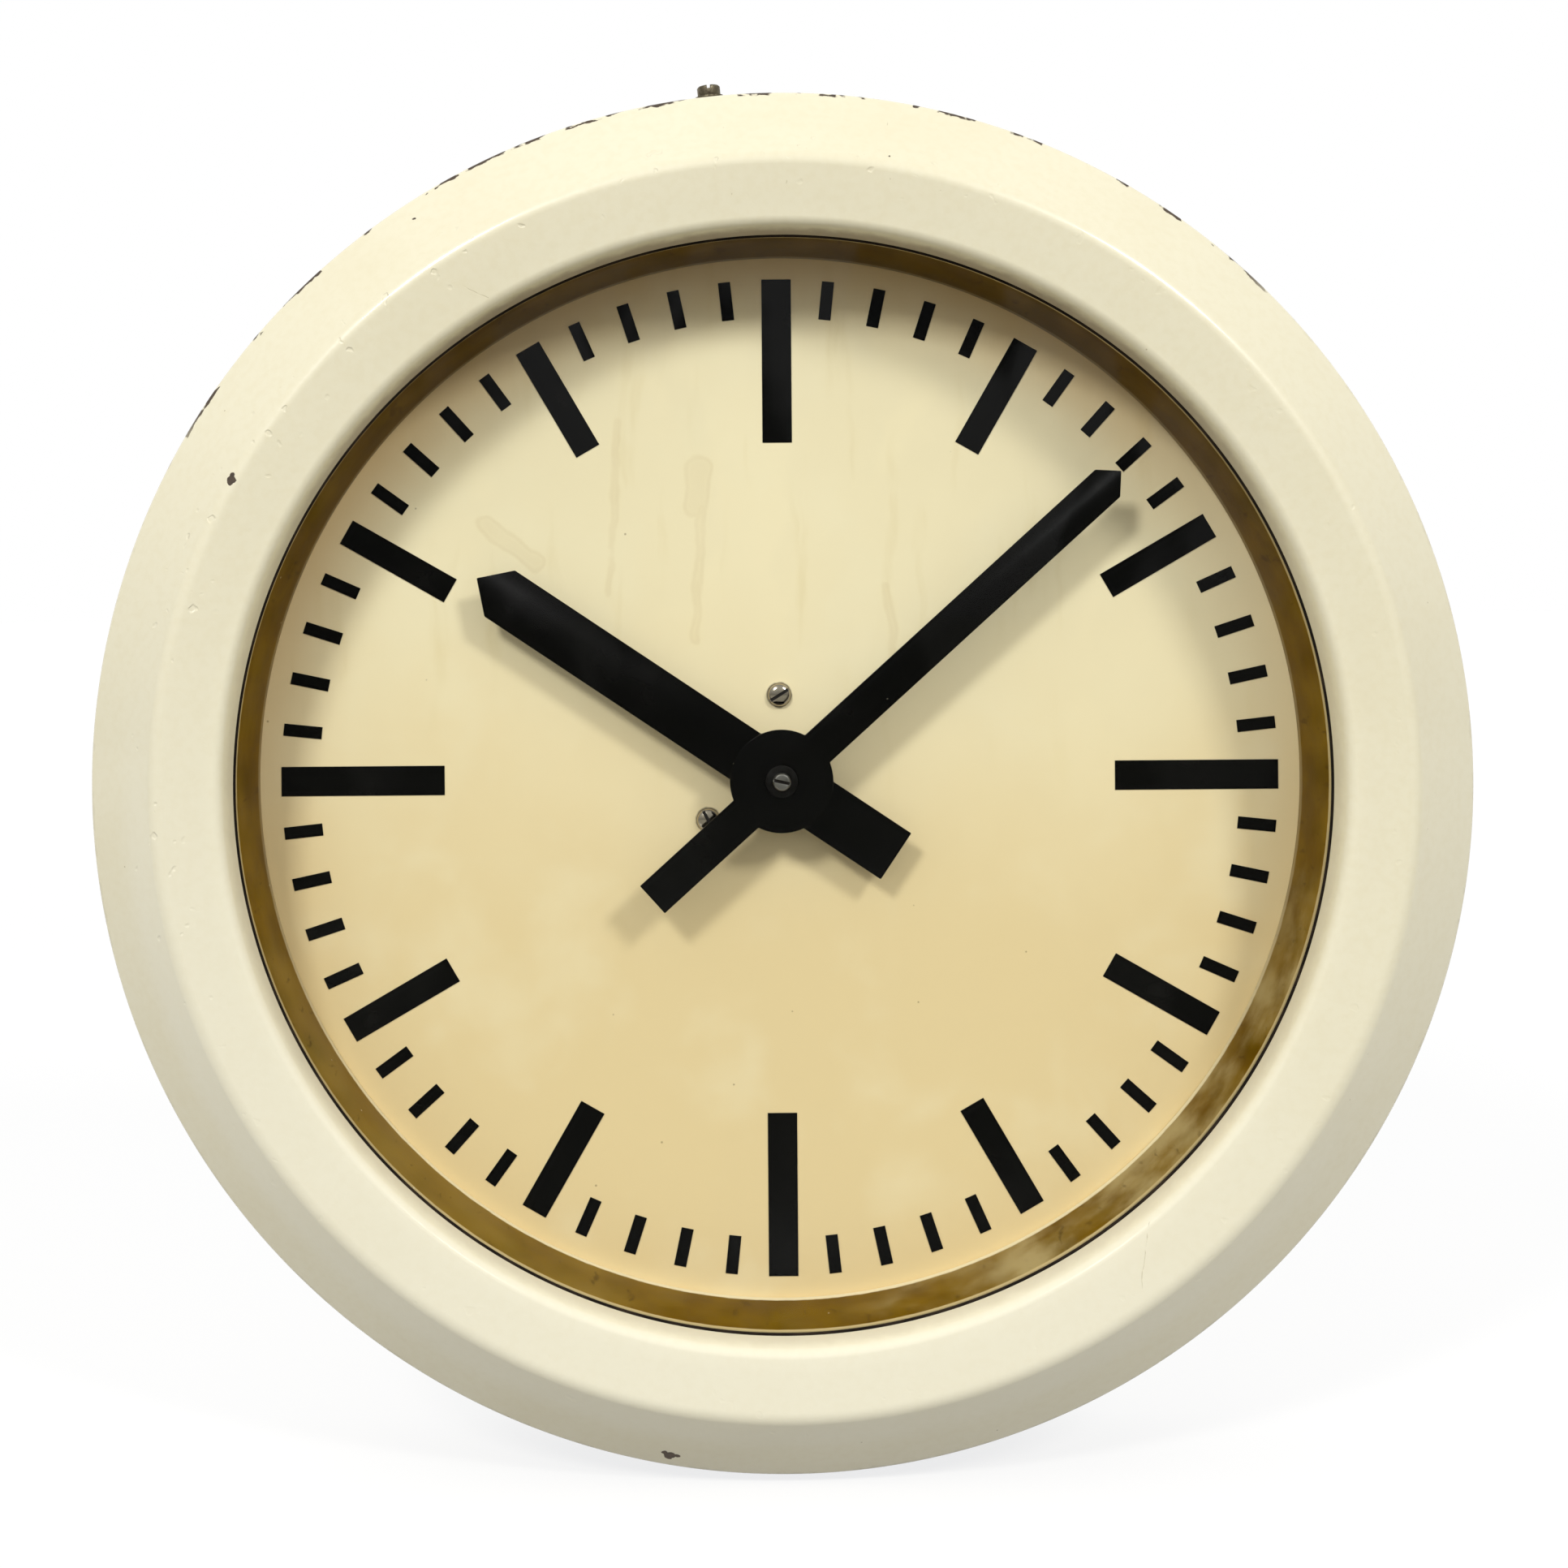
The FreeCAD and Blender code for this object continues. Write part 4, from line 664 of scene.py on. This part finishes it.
def bronze_band():
    """Clouded bronze for the inner band, with painted shade and a painted highlight."""
    material, bronze = new_finish("bronze_band")
    place = bronze.place()
    x, y, z = bronze.axes(place)
    depth = 0 - y
    cloud = bronze.noise(place, 16, 4)

    colour = bronze.mix(cloud.step(0.3, 0.7), BRONZE_DEEP, BRONZE_GOLD)
    # Painted shade: darker towards the top, where the ring shades the band.
    colour = bronze.mix(z.step(0, 150) * 0.55, colour, BRONZE_TOP_SHADE)
    wander = bronze.noise(place, 26, 2) * 90
    colour = bronze.mix((wander - x - z).step(225, 290) * 0.6, colour, BRONZE_PALE)
    lower_right = (wander + x - z).step(225, 280)
    patches = bronze.noise(place, 20, 4, shift=33).step(0.32, 0.66) * (lower_right * 0.85 + 0.06)
    colour = bronze.mix(patches, colour, BRONZE_PALE_PATCH)
    stains = bronze.noise(bronze.shaken(place, 8, 5), 4, 3, stretch=(1, 0.25, 1), shift=12)
    colour = bronze.mix(stains.step(0.62, 0.74) * 0.5, colour, BRONZE_STAIN)

    edge = (depth + bronze.noise(place, 3, 2) * 0.5).step(67.7, 68.3)
    colour = bronze.mix(edge, colour, BAND_DUST)
    # Painted highlight along the foot, mostly on the lower half.
    foot = (depth + bronze.noise(place, 4, 2) * 0.8).step(47.2, 46.2)
    foot = foot * (z.step(-10, -120) * 0.7 + 0.2)
    colour = bronze.mix(foot, colour, BAND_FOOT_HIGHLIGHT)
    colour = bronze.mix(bronze.specks(place, 13.0, 0.03, 0.018) * 0.8, colour, BAND_SPECK)

    height = bronze.noise(place, 1.4, 2) * 0.03 + bronze.noise(place, 12, 2) * 0.1
    bare = 1 - edge.most(patches).most(foot)
    bronze.surface(Base_Color=colour, Roughness=0.3 + cloud * 0.2, Metallic=bare * 0.3,
                   Normal=bronze.bump(height), Specular_IOR_Level=0.08, Specular_Tint=BRONZE_SHEEN)
    return material


keep("bronze_band", bronze_band())

# %% [markdown]
# ## Glass
# A flat pane neither bends nor hides what is behind it: it only mirrors a little, more at a slant. So
# it is a see-through shader with a share of gloss that rises with the slant. Layer Weight's Facing
# gives the same rise on both sides of the pane; a Fresnel node would mirror everything at the far side
# and keep the lamps out. Wiping has left the faintest haze, most of it in the upper half.


# %% Make the glass
MIRROR, MIRROR_RISE, HAZE = 0.003, 0.6, 0.016


def clear_glass():
    """A see-through pane that mirrors at a slant."""
    material, pane = new_finish("clear_glass")
    place = pane.place()
    z = pane.axes(place)[2]
    slant = pane.node("ShaderNodeLayerWeight", {"Blend": 0.5}, out=1)
    haze = pane.noise(pane.shaken(place, 70, 50), 48, 3, stretch=(1, 1, 0.5)).step(0.5, 0.56)
    haze = haze * (z.step(-20, 120) * 0.8 + 0.2)
    mirror = MIRROR + slant ** 5 * MIRROR_RISE + haze * HAZE
    clear = pane.node("ShaderNodeBsdfTransparent", {"Color": (0.996, 1, 0.994, 1)})
    gloss = pane.node("ShaderNodeBsdfGlossy", {"Color": (1, 1, 1, 1), "Roughness": 0.02})
    pane.show(pane.node("ShaderNodeMixShader", {0: mirror, 1: clear, 2: gloss}))
    return material


keep("clear_glass", clear_glass())

# %% [markdown]
# ## Metals and mouldings
# The movement and the fittings need a handful of metals and mouldings. They differ in colour more than
# in kind, so each metal is one recipe with its own colours, roughness and size of tarnish, and each
# moulding has its own colours, roughness and grain.


# %% Mix metals and mouldings
METALS = {
    "nickel": (tint(170, 161, 142), tint(80, 66, 46), 0.14, 1.6),
    "zinc_steel": (tint(178, 177, 170), tint(110, 84, 58), 0.34, 3.0),
    "brass": (tint(214, 178, 96), tint(140, 104, 50), 0.24, 7.0),
    "steel": (tint(188, 187, 184), tint(120, 112, 102), 0.26, 5.0),
    "iron": (tint(128, 124, 120), tint(84, 66, 50), 0.42, 5.0),
    "magnet": (tint(92, 90, 90), tint(62, 56, 52), 0.38, 3.0),
    "rusted_nickel": (tint(120, 112, 92), tint(62, 48, 32), 0.4, 1.4, 0.95),
    "blacked_steel": (tint(30, 29, 27), tint(13, 12, 11), 0.34, 1.5),
}
MOULDINGS = {
    "black_rubber": (tint(26, 20, 14), tint(52, 42, 32), 0.62, 0.8, 0.12),
    "bobbin_resin": (tint(92, 56, 30), tint(70, 42, 24), 0.4, 1.0),
    "copper_wire": (tint(136, 66, 34), tint(104, 48, 26), 0.3, 0.6),
    "lead_sleeve": (tint(164, 48, 36), tint(128, 40, 32), 0.6, 0.5),
    "terminal_resin": (tint(44, 34, 28), tint(64, 50, 40), 0.36, 1.2),
}


def metal(name, bright, dull, rough, cloud_size, tarnish=0.6):
    """Bright metal with clouds of tarnish and fine turning marks."""
    material, skin = new_finish(name)
    place = skin.place()
    cloud = skin.noise(place, cloud_size, 5).step(0.4, 0.75)
    marks = skin.noise(place, 0.35, 1, stretch=(1, 0.1, 1))
    colour = skin.mix(cloud * tarnish, bright, dull)
    height = marks * 0.006 + skin.noise(place, 1.5, 3) * 0.012
    skin.surface(Base_Color=colour, Metallic=1 - cloud * tarnish * 0.5, Normal=skin.bump(height),
                 Roughness=rough + cloud * 0.25 + marks * 0.08)
    return material


def moulding(name, base, faded, rough, grain, gloss=0.5):
    """Rubber or resin, faded in clouds, with a grain of so many millimetres."""
    material, skin = new_finish(name)
    place = skin.place()
    cloud = skin.noise(place, 9, 4)
    colour = skin.mix(cloud.step(0.35, 0.75), base, faded)
    height = skin.noise(place, grain, 3) * grain * 0.03
    skin.surface(Base_Color=colour, Roughness=rough + cloud * 0.15, Normal=skin.bump(height),
                 Specular_IOR_Level=gloss)
    return material


for name, recipe in METALS.items():
    keep(name, metal(name, *recipe))
for name, recipe in MOULDINGS.items():
    keep(name, moulding(name, *recipe))

# %% [markdown]
# ## Slotted heads
# The screws on the dial and at the hub are nickelled. Their slots are painted near black, for old
# polish in them and painted shade, which is what makes the slots readable from afar. A slot is the part
# of a head that lies deep and near the screw's axis, so the dark filling is found from depth and
# distance, whichever way the slot is turned.


# %% Mix the nickel of slotted heads
DIAL_FRONT = 43.05
SCREW_HEAD, SCREW_SLOT_FLOOR = 3.5, DIAL_FRONT + 1.5
HAND_SCREW_HEAD, HAND_SCREW_SLOT = 2.75, 1.1
HAND_SCREW_FLOOR = -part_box("hand_screw")[0].y * MM_PER_M - HAND_SCREW_SLOT
SLOT_POLISH_AND_SHADE = tint(24, 18, 11)


def slotted_nickel(name, bright, dull, rough, head, floor, spots):
    """Nickel for heads of that radius on those spots, whose slots are cut down to that depth."""
    material, skin = new_finish(name)
    place = skin.place()
    depth = 0 - skin.axes(place)[1]
    tarnish = skin.noise(place, 1.6, 3).step(0.5, 0.75) * 0.4
    inside = nearest_axis(skin, place, spots).step(head - 0.2, head - 0.4)
    # The slot floor is painted near black: old polish and painted shade.
    slot = depth.step(floor + 0.6, floor + 0.2) * inside
    colour = skin.mix(slot, skin.mix(tarnish, bright, dull), SLOT_POLISH_AND_SHADE)
    height = skin.noise(place, 1.2, 2) * 0.01
    skin.surface(Base_Color=colour, Metallic=1 - slot, Normal=skin.bump(height),
                 Roughness=rough + tarnish * 0.3 + slot * 0.4)
    return material


keep("screw_nickel", slotted_nickel("screw_nickel", tint(206, 196, 176), tint(138, 118, 84), 0.12,
                                    SCREW_HEAD, SCREW_SLOT_FLOOR, SCREW_SPOTS))
keep("dulled_nickel", slotted_nickel("dulled_nickel", tint(128, 127, 121), tint(70, 66, 58), 0.4,
                                     HAND_SCREW_HEAD, HAND_SCREW_FLOOR, [(0, 0, 0)]))

# %% [markdown]
# ## Dressing the CAD pieces
# Every CAD node gets the finish of its material slot, and the rear case gets its own paint. Pieces
# that keep their CAD mesh are then done, and the others hand their finish on to what replaces them.

# %% Dress the CAD pieces
for node, piece in frame["nodes"].items():
    piece.data.materials.clear()
    piece.data.materials.append(finishes[slot_of[node]])
frame["nodes"]["rear_case"].data.materials[0] = finishes["case_paint"]
print(len(finishes), "finishes for", len(frame["nodes"]), "CAD nodes")

# %% [markdown]
# ## Sections
# Ring, band and gasket are all round about the clock's axis. CAD meshes are coarse at the bends, where
# paint shows every highlight, so these pieces are turned again here from finer sections. A section is
# a list of (radius, depth) points in millimetres, the depth counted from the wall. We draw it as a
# line with rounded corners, and for sheet metal we give that line a thickness. The ring's line comes
# first, since it shows best what the helpers do: a skirt, a rounded rim, a crest and a lip.


# %% Draw sections
RING_CORNERS = [(210, 54), (210, 67), (187.4, 86.5), (167.8, 83.4), (165.5, 73.9)]
RING_BENDS = {1: 2.4, 2: 5.5, 3: 3.6}


def turned(vector, angle):
    """A flat vector turned by an angle."""
    c, s = math.cos(angle), math.sin(angle)
    return Vector((vector.x * c - vector.y * s, vector.x * s + vector.y * c))


def bent(corners, bends, steps=14):
    """A line through the corners, with those named in bends turned into arcs of that radius."""
    line = []
    for index, corner in enumerate(corners):
        corner = Vector(corner)
        if index not in bends:
            line.append(corner)
            continue
        back = (Vector(corners[index - 1]) - corner).normalized()
        ahead = (Vector(corners[(index + 1) % len(corners)]) - corner).normalized()
        half = back.angle(ahead) / 2
        centre = corner + (back + ahead).normalized() * (bends[index] / math.sin(half))
        first = corner + back * (bends[index] / math.tan(half)) - centre
        last = corner + ahead * (bends[index] / math.tan(half)) - centre
        turn = math.atan2(first.x * last.y - first.y * last.x, first.dot(last))
        line += [centre + turned(first, turn * step / steps) for step in range(steps + 1)]
    return line


def sheet_section(line, thickness):
    """A closed section of sheet metal: the line as one skin, the other to its left, rounded edges."""
    tangents = []
    for before, after in zip([line[0]] + line[:-1], line[1:] + [line[-1]]):
        tangents.append((after - before).normalized())
    ease = thickness / 2
    skin = list(line)
    skin[0] = skin[0] + tangents[0] * ease
    skin[-1] = skin[-1] - tangents[-1] * ease
    lefts = [Vector((-tangent.y, tangent.x)) * thickness for tangent in tangents]
    far = [point + left for point, left in zip(skin, lefts)]

    def edge(start, end, outward):
        middle = (start + end) / 2
        angles = [math.pi * step / 6 for step in range(1, 6)]
        return [middle + (start - middle) * math.cos(a) + outward * (ease * math.sin(a)) for a in angles]

    last_edge = edge(skin[-1], far[-1], tangents[-1])
    first_edge = edge(far[0], skin[0], -tangents[0])
    return skin + last_edge + far[::-1] + first_edge


ring_line = bent(RING_CORNERS, RING_BENDS)
print("the ring's line has", len(ring_line), "points")

# %% [markdown]
# ## Turning
# A turned piece is its section repeated around an axis and joined by faces. Blender has a Screw
# modifier for that, but a few lines of bmesh leave the number of steps and the seam in our hands.


# %% Turn a section
RING_SHEET, RING_TURNS = 1.2, 480
SECTION_WELD = 1e-7


def lathe(section, turns, point):
    """Turn a closed section; point places a radius, a distance along the axis and an angle."""
    work = bmesh.new()
    rings = []
    for step in range(turns):
        angle = 2 * math.pi * step / turns
        rings.append([work.verts.new(point(radius, along, angle)) for radius, along in section])
    count = len(section)
    for ring, after in zip(rings, rings[1:] + rings[:1]):
        for k in range(count):
            ahead = (k + 1) % count
            work.faces.new((ring[k], ring[ahead], after[ahead], after[k])).smooth = True
    return work


def clock_point(radius, depth, angle):
    """A point in metres, from millimetres off the clock's axis and off the wall."""
    x, z = radius * math.sin(angle), radius * math.cos(angle)
    return x / MM_PER_M, -depth / MM_PER_M, z / MM_PER_M


def turn_section(section, turns):
    """Turn a closed section about the clock's axis."""
    work = lathe(section, turns, clock_point)
    bmesh.ops.remove_doubles(work, verts=work.verts, dist=SECTION_WELD)
    return work


ring_work = turn_section(sheet_section(ring_line, RING_SHEET), RING_TURNS)
print("the turned ring has", len(ring_work.verts), "points")

# %% [markdown]
# ## Front ring
# The ring is pressed from one sheet: a skirt over the case, a rounded rim, a shoulder, a crest, a face
# that slopes in towards the glass, and a lip. The many points on each bend give the long soft
# highlight along the crest. Like each new piece, the ring rides on a body of the clock, hides the CAD
# nodes that it stands for, and gets its finish.


# %% Make the front ring
def new_piece(name, work, node_names, body, finish, sharp=35):
    """Make an object of a bmesh, let it ride on its body, and hide the nodes it stands for."""
    bmesh.ops.recalc_face_normals(work, faces=work.faces)
    mesh = bpy.data.meshes.new(name)
    work.to_mesh(mesh)
    work.free()
    mesh.set_sharp_from_angle(angle=math.radians(sharp))
    mesh.materials.append(finish)
    piece = bpy.data.objects.new(name, mesh)
    scene.collection.objects.link(piece)
    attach(piece, body)
    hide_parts(*node_names)
    print(name, "has", len(mesh.polygons), "faces")
    return piece


ring = new_piece("front_ring_pressing", ring_work, ["front_ring"], "cover", finishes["cream_paint"])

# %% [markdown]
# Only the notch in the skirt isn't round. It straddles the closing screw, so that the ring can go on
# and off. A Boolean cuts it with a box, and its result becomes the ring's mesh.


# %% Cut the notch
NOTCH_LOW, NOTCH_HIGH, NOTCH_TURN = (-2.4, 200, 50), (2.4, 215, 62.4), 5.6


def box_work(low, high, turn=0.0):
    """A box between two corners in millimetres, in the front view, turned about the clock's axis."""
    work = bmesh.new()
    bmesh.ops.create_cube(work, size=1)
    c, s = math.cos(math.radians(turn)), math.sin(math.radians(turn))
    for vert in work.verts:
        x, y, d = (low[k] + (high[k] - low[k]) * (vert.co[k] + 0.5) for k in range(3))
        vert.co = Vector((x * c - y * s, -d, x * s + y * c)) / MM_PER_M
    return work


def loose_object(name, work):
    """An object of a bmesh that is only needed for a moment."""
    bmesh.ops.recalc_face_normals(work, faces=work.faces)
    mesh = bpy.data.meshes.new(name)
    work.to_mesh(mesh)
    work.free()
    loose = bpy.data.objects.new(name, mesh)
    scene.collection.objects.link(loose)
    return loose


def cut_away(piece, cutter_work):
    """Cut a solid out of a piece and keep the result as its mesh."""
    cutter = loose_object("cutter", cutter_work)
    cut = piece.modifiers.new("cut", "BOOLEAN")
    cut.object = cutter
    cut.solver = "EXACT"
    evaluated = piece.evaluated_get(bpy.context.evaluated_depsgraph_get())
    shaped = bpy.data.meshes.new_from_object(evaluated)
    piece.modifiers.clear()
    piece.data = shaped
    bpy.data.objects.remove(cutter)


cut_away(ring, box_work(NOTCH_LOW, NOTCH_HIGH, NOTCH_TURN))
print("with its notch the ring has", len(ring.data.polygons), "faces")

# %% [markdown]
# ## Band and gasket
# The band leans out a little from the dial to the glass and ends in a thin rounded edge. Its flange
# lies on the dial. The gasket is a soft black bead between lip and glass, so its section is rounded
# too. Both are turned like the ring. The gasket's depths are read off the CAD piece.

# %% Turn the band and the gasket
BAND_CORNERS = [(165.8, 68.6), (162.4, DIAL_FRONT), (173, DIAL_FRONT)]
BAND_BENDS, BAND_SHEET, BAND_TURNS = {1: 1.2}, 1.0, 360
GASKET_INSIDE, GASKET_OUTSIDE, GASKET_BEND = 165, 170, 0.2

band_line = bent(BAND_CORNERS, BAND_BENDS, steps=6)
band_work = turn_section(sheet_section(band_line, BAND_SHEET), BAND_TURNS)
new_piece("band_pressing", band_work, ["inner_band"], "case", finishes["bronze_band"])

gasket_low = -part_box("glass_gasket")[1].y * MM_PER_M
gasket_high = -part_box("glass_gasket")[0].y * MM_PER_M
gasket_corners = [(GASKET_INSIDE, gasket_low), (GASKET_OUTSIDE, gasket_low),
                  (GASKET_OUTSIDE, gasket_high), (GASKET_INSIDE, gasket_high)]
gasket_line = bent(gasket_corners, {k: GASKET_BEND for k in range(4)}, steps=4)
new_piece("gasket_bead", turn_section(gasket_line, BAND_TURNS), ["glass_gasket"], "cover",
          finishes["black_rubber"])

# %% [markdown]
# ## Eased edges
# No real edge is perfectly sharp: paint and tooling round it, and that thin rounding catches the
# light. These pieces have the right shape in CAD, so each gets a copy of its mesh with every sharp
# edge eased by a bevel. Faces that were flat stay flat shaded, so that the rounding doesn't bleed into
# them, and only round faces and the bevels themselves are smooth. The washer and the screws at the hub
# and at the rim have worn finishes of their own.


# %% Ease the edges of CAD pieces
SHARP, FLAT = math.radians(30), math.radians(0.5)
CAD_WELD = 1e-6
EASES = {
    "minute_hand": 0.25, "hour_hand": 0.25, "cable_bush": 0.5, "dial_edge_screws": 0.1,
    "dial_brackets": 0.2, "glass_frame": 0.2, "glass_clips": 0.12, "clip_screws": 0.15,
    "closing_nut": 0.25, "back_plate": 0.2, "front_plate": 0.2, "plate_pillars": 0.2,
    "plate_nuts": 0.25, "dial_posts": 0.2, "centre_bush": 0.15, "motion_clip": 0.08,
    "pole_pieces": 0.15, "stator_screws": 0.15, "coil_core": 0.2, "coil_bobbin": 0.25,
    "terminal_block": 0.3, "terminal_screws": 0.15, "minute_collet": 0.2, "hour_collet": 0.2,
    "rotor_magnet": 0.25,
}
HAND_SCREW_TURN = 12


def edge_angle(edge):
    """The angle between an edge's two faces."""
    return edge.calc_face_angle(0) if len(edge.link_faces) == 2 else 0


def eased(node, ease, finish=None, turn=0.0):
    """Stand in for a CAD piece by a copy with edges eased by millimetres, turned by degrees."""
    source = frame["nodes"][node]
    work = bmesh.new()
    work.from_mesh(source.data)
    bmesh.ops.remove_doubles(work, verts=work.verts, dist=CAD_WELD)
    bmesh.ops.dissolve_limit(work, angle_limit=FLAT, verts=work.verts, edges=work.edges)
    for face in work.faces:
        face.smooth = any(FLAT < edge_angle(edge) < SHARP for edge in face.edges)
    sharp = [edge for edge in work.edges if edge_angle(edge) > SHARP]
    made = bmesh.ops.bevel(work, geom=sharp, offset=ease / MM_PER_M, segments=2, profile=0.5,
                           affect="EDGES", clamp_overlap=False)
    for face in made["faces"]:
        face.smooth = True
    bmesh.ops.rotate(work, verts=work.verts, matrix=Matrix.Rotation(math.radians(turn), 3, "Y"))
    return new_piece(node + "_eased", work, [node], source["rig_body"],
                     finish or source.data.materials[0], sharp=50)


for node, ease in EASES.items():
    eased(node, ease)
eased("hand_washer", 0.2, finishes["blacked_steel"])
eased("hand_screw", 0.12, finishes["dulled_nickel"], turn=HAND_SCREW_TURN)
eased("closing_screw", 0.1, finishes["rusted_nickel"])
eased("closing_washer", 0.15, finishes["rusted_nickel"])

# %% [markdown]
# ## Dial screws
# The screws that hold the movement show beside the hub. Their heads are slightly domed and nickelled,
# with the slot left wherever the last turn of the screwdriver put it. Each is turned on the clock's
# axis, gets its slot by a Boolean with a turned box, and then moves to its place.


# %% Turn the dial screws
SCREW_SHANK, SCREW_LENGTH, HEAD_EASE = 2, 8, 0.2
HEAD_SIDE, HEAD_DOME = 1.3, 1.3
SLOT_REACH, SLOT_HALF, SLOT_TOP = 6, 0.5, DIAL_FRONT + 4
SCREW_TURNS = 48


def screw_section():
    """Half of a domed screw, from the shank's end up to the top of the head."""
    end, side = DIAL_FRONT - SCREW_LENGTH, DIAL_FRONT + HEAD_SIDE
    shank = [(0, end), (SCREW_SHANK, end), (SCREW_SHANK, DIAL_FRONT)]
    rim = [(SCREW_HEAD - HEAD_EASE, DIAL_FRONT), (SCREW_HEAD, DIAL_FRONT + HEAD_EASE)]
    turns = [math.radians(a) for a in range(0, 90, 10)]
    dome = [(SCREW_HEAD * math.cos(a), side + HEAD_DOME * math.sin(a)) for a in turns]
    return shank + rim + dome + [(0, side + HEAD_DOME)]


def dial_screws():
    """Three screws as one piece, each with its slot."""
    joined = bmesh.new()
    for (x, _, z), slot_turn in zip(SCREW_SPOTS, SCREW_SLOTS.values()):
        screw = loose_object("screw", turn_section(screw_section(), SCREW_TURNS))
        cut_away(screw, box_work((-SLOT_REACH, -SLOT_HALF, SCREW_SLOT_FLOOR),
                                 (SLOT_REACH, SLOT_HALF, SLOT_TOP), slot_turn))
        screw.data.transform(Matrix.Translation((x / MM_PER_M, 0, z / MM_PER_M)))
        joined.from_mesh(screw.data)
        bpy.data.objects.remove(screw)
    return new_piece("dial_screws_domed", joined, ["dial_screws"], "case", finishes["screw_nickel"],
                     sharp=30)


dial_screws()

# %% [markdown]
# ## Coil
# The coil of the movement is wound with fine wire, layer on layer. A plain drum wouldn't show the
# turns, and a bump in the finish would leave its outline straight. So its section gets one small ridge
# for each turn of the outer layer, and is turned about the coil's own axis.


# %% Wind the coil
WIRE = 0.00045
RIDGE_STEPS = 4
COIL_TURNS = 64


def coil_winding():
    """A drum with a ridge for each turn of wire, as large as the CAD piece."""
    low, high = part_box("coil_winding")
    centre = (low + high) / 2
    outer = (high.z - low.z) / 2
    points = [vert.co for vert in frame["nodes"]["coil_winding"].data.vertices]
    inner = min(math.hypot(point.y - centre.y, point.z - centre.z) for point in points)
    wires = int((high.x - low.x) / WIRE)
    pitch = (high.x - low.x) / wires
    section = [(inner, low.x)]
    for k in range(wires * RIDGE_STEPS + 1):
        bulge = abs(math.sin(math.pi * k / RIDGE_STEPS))
        section.append((outer - WIRE / 4 * (1 - bulge), low.x + pitch * k / RIDGE_STEPS))
    section.append((inner, high.x))

    def coil_point(radius, x, angle):
        return x, centre.y + radius * math.cos(angle), centre.z + radius * math.sin(angle)

    work = lathe(section, COIL_TURNS, coil_point)
    print("the coil shows", wires, "turns of wire")
    return new_piece("coil_turns", work, ["coil_winding"], "case", finishes["copper_wire"],
                     sharp=80)


coil_winding()
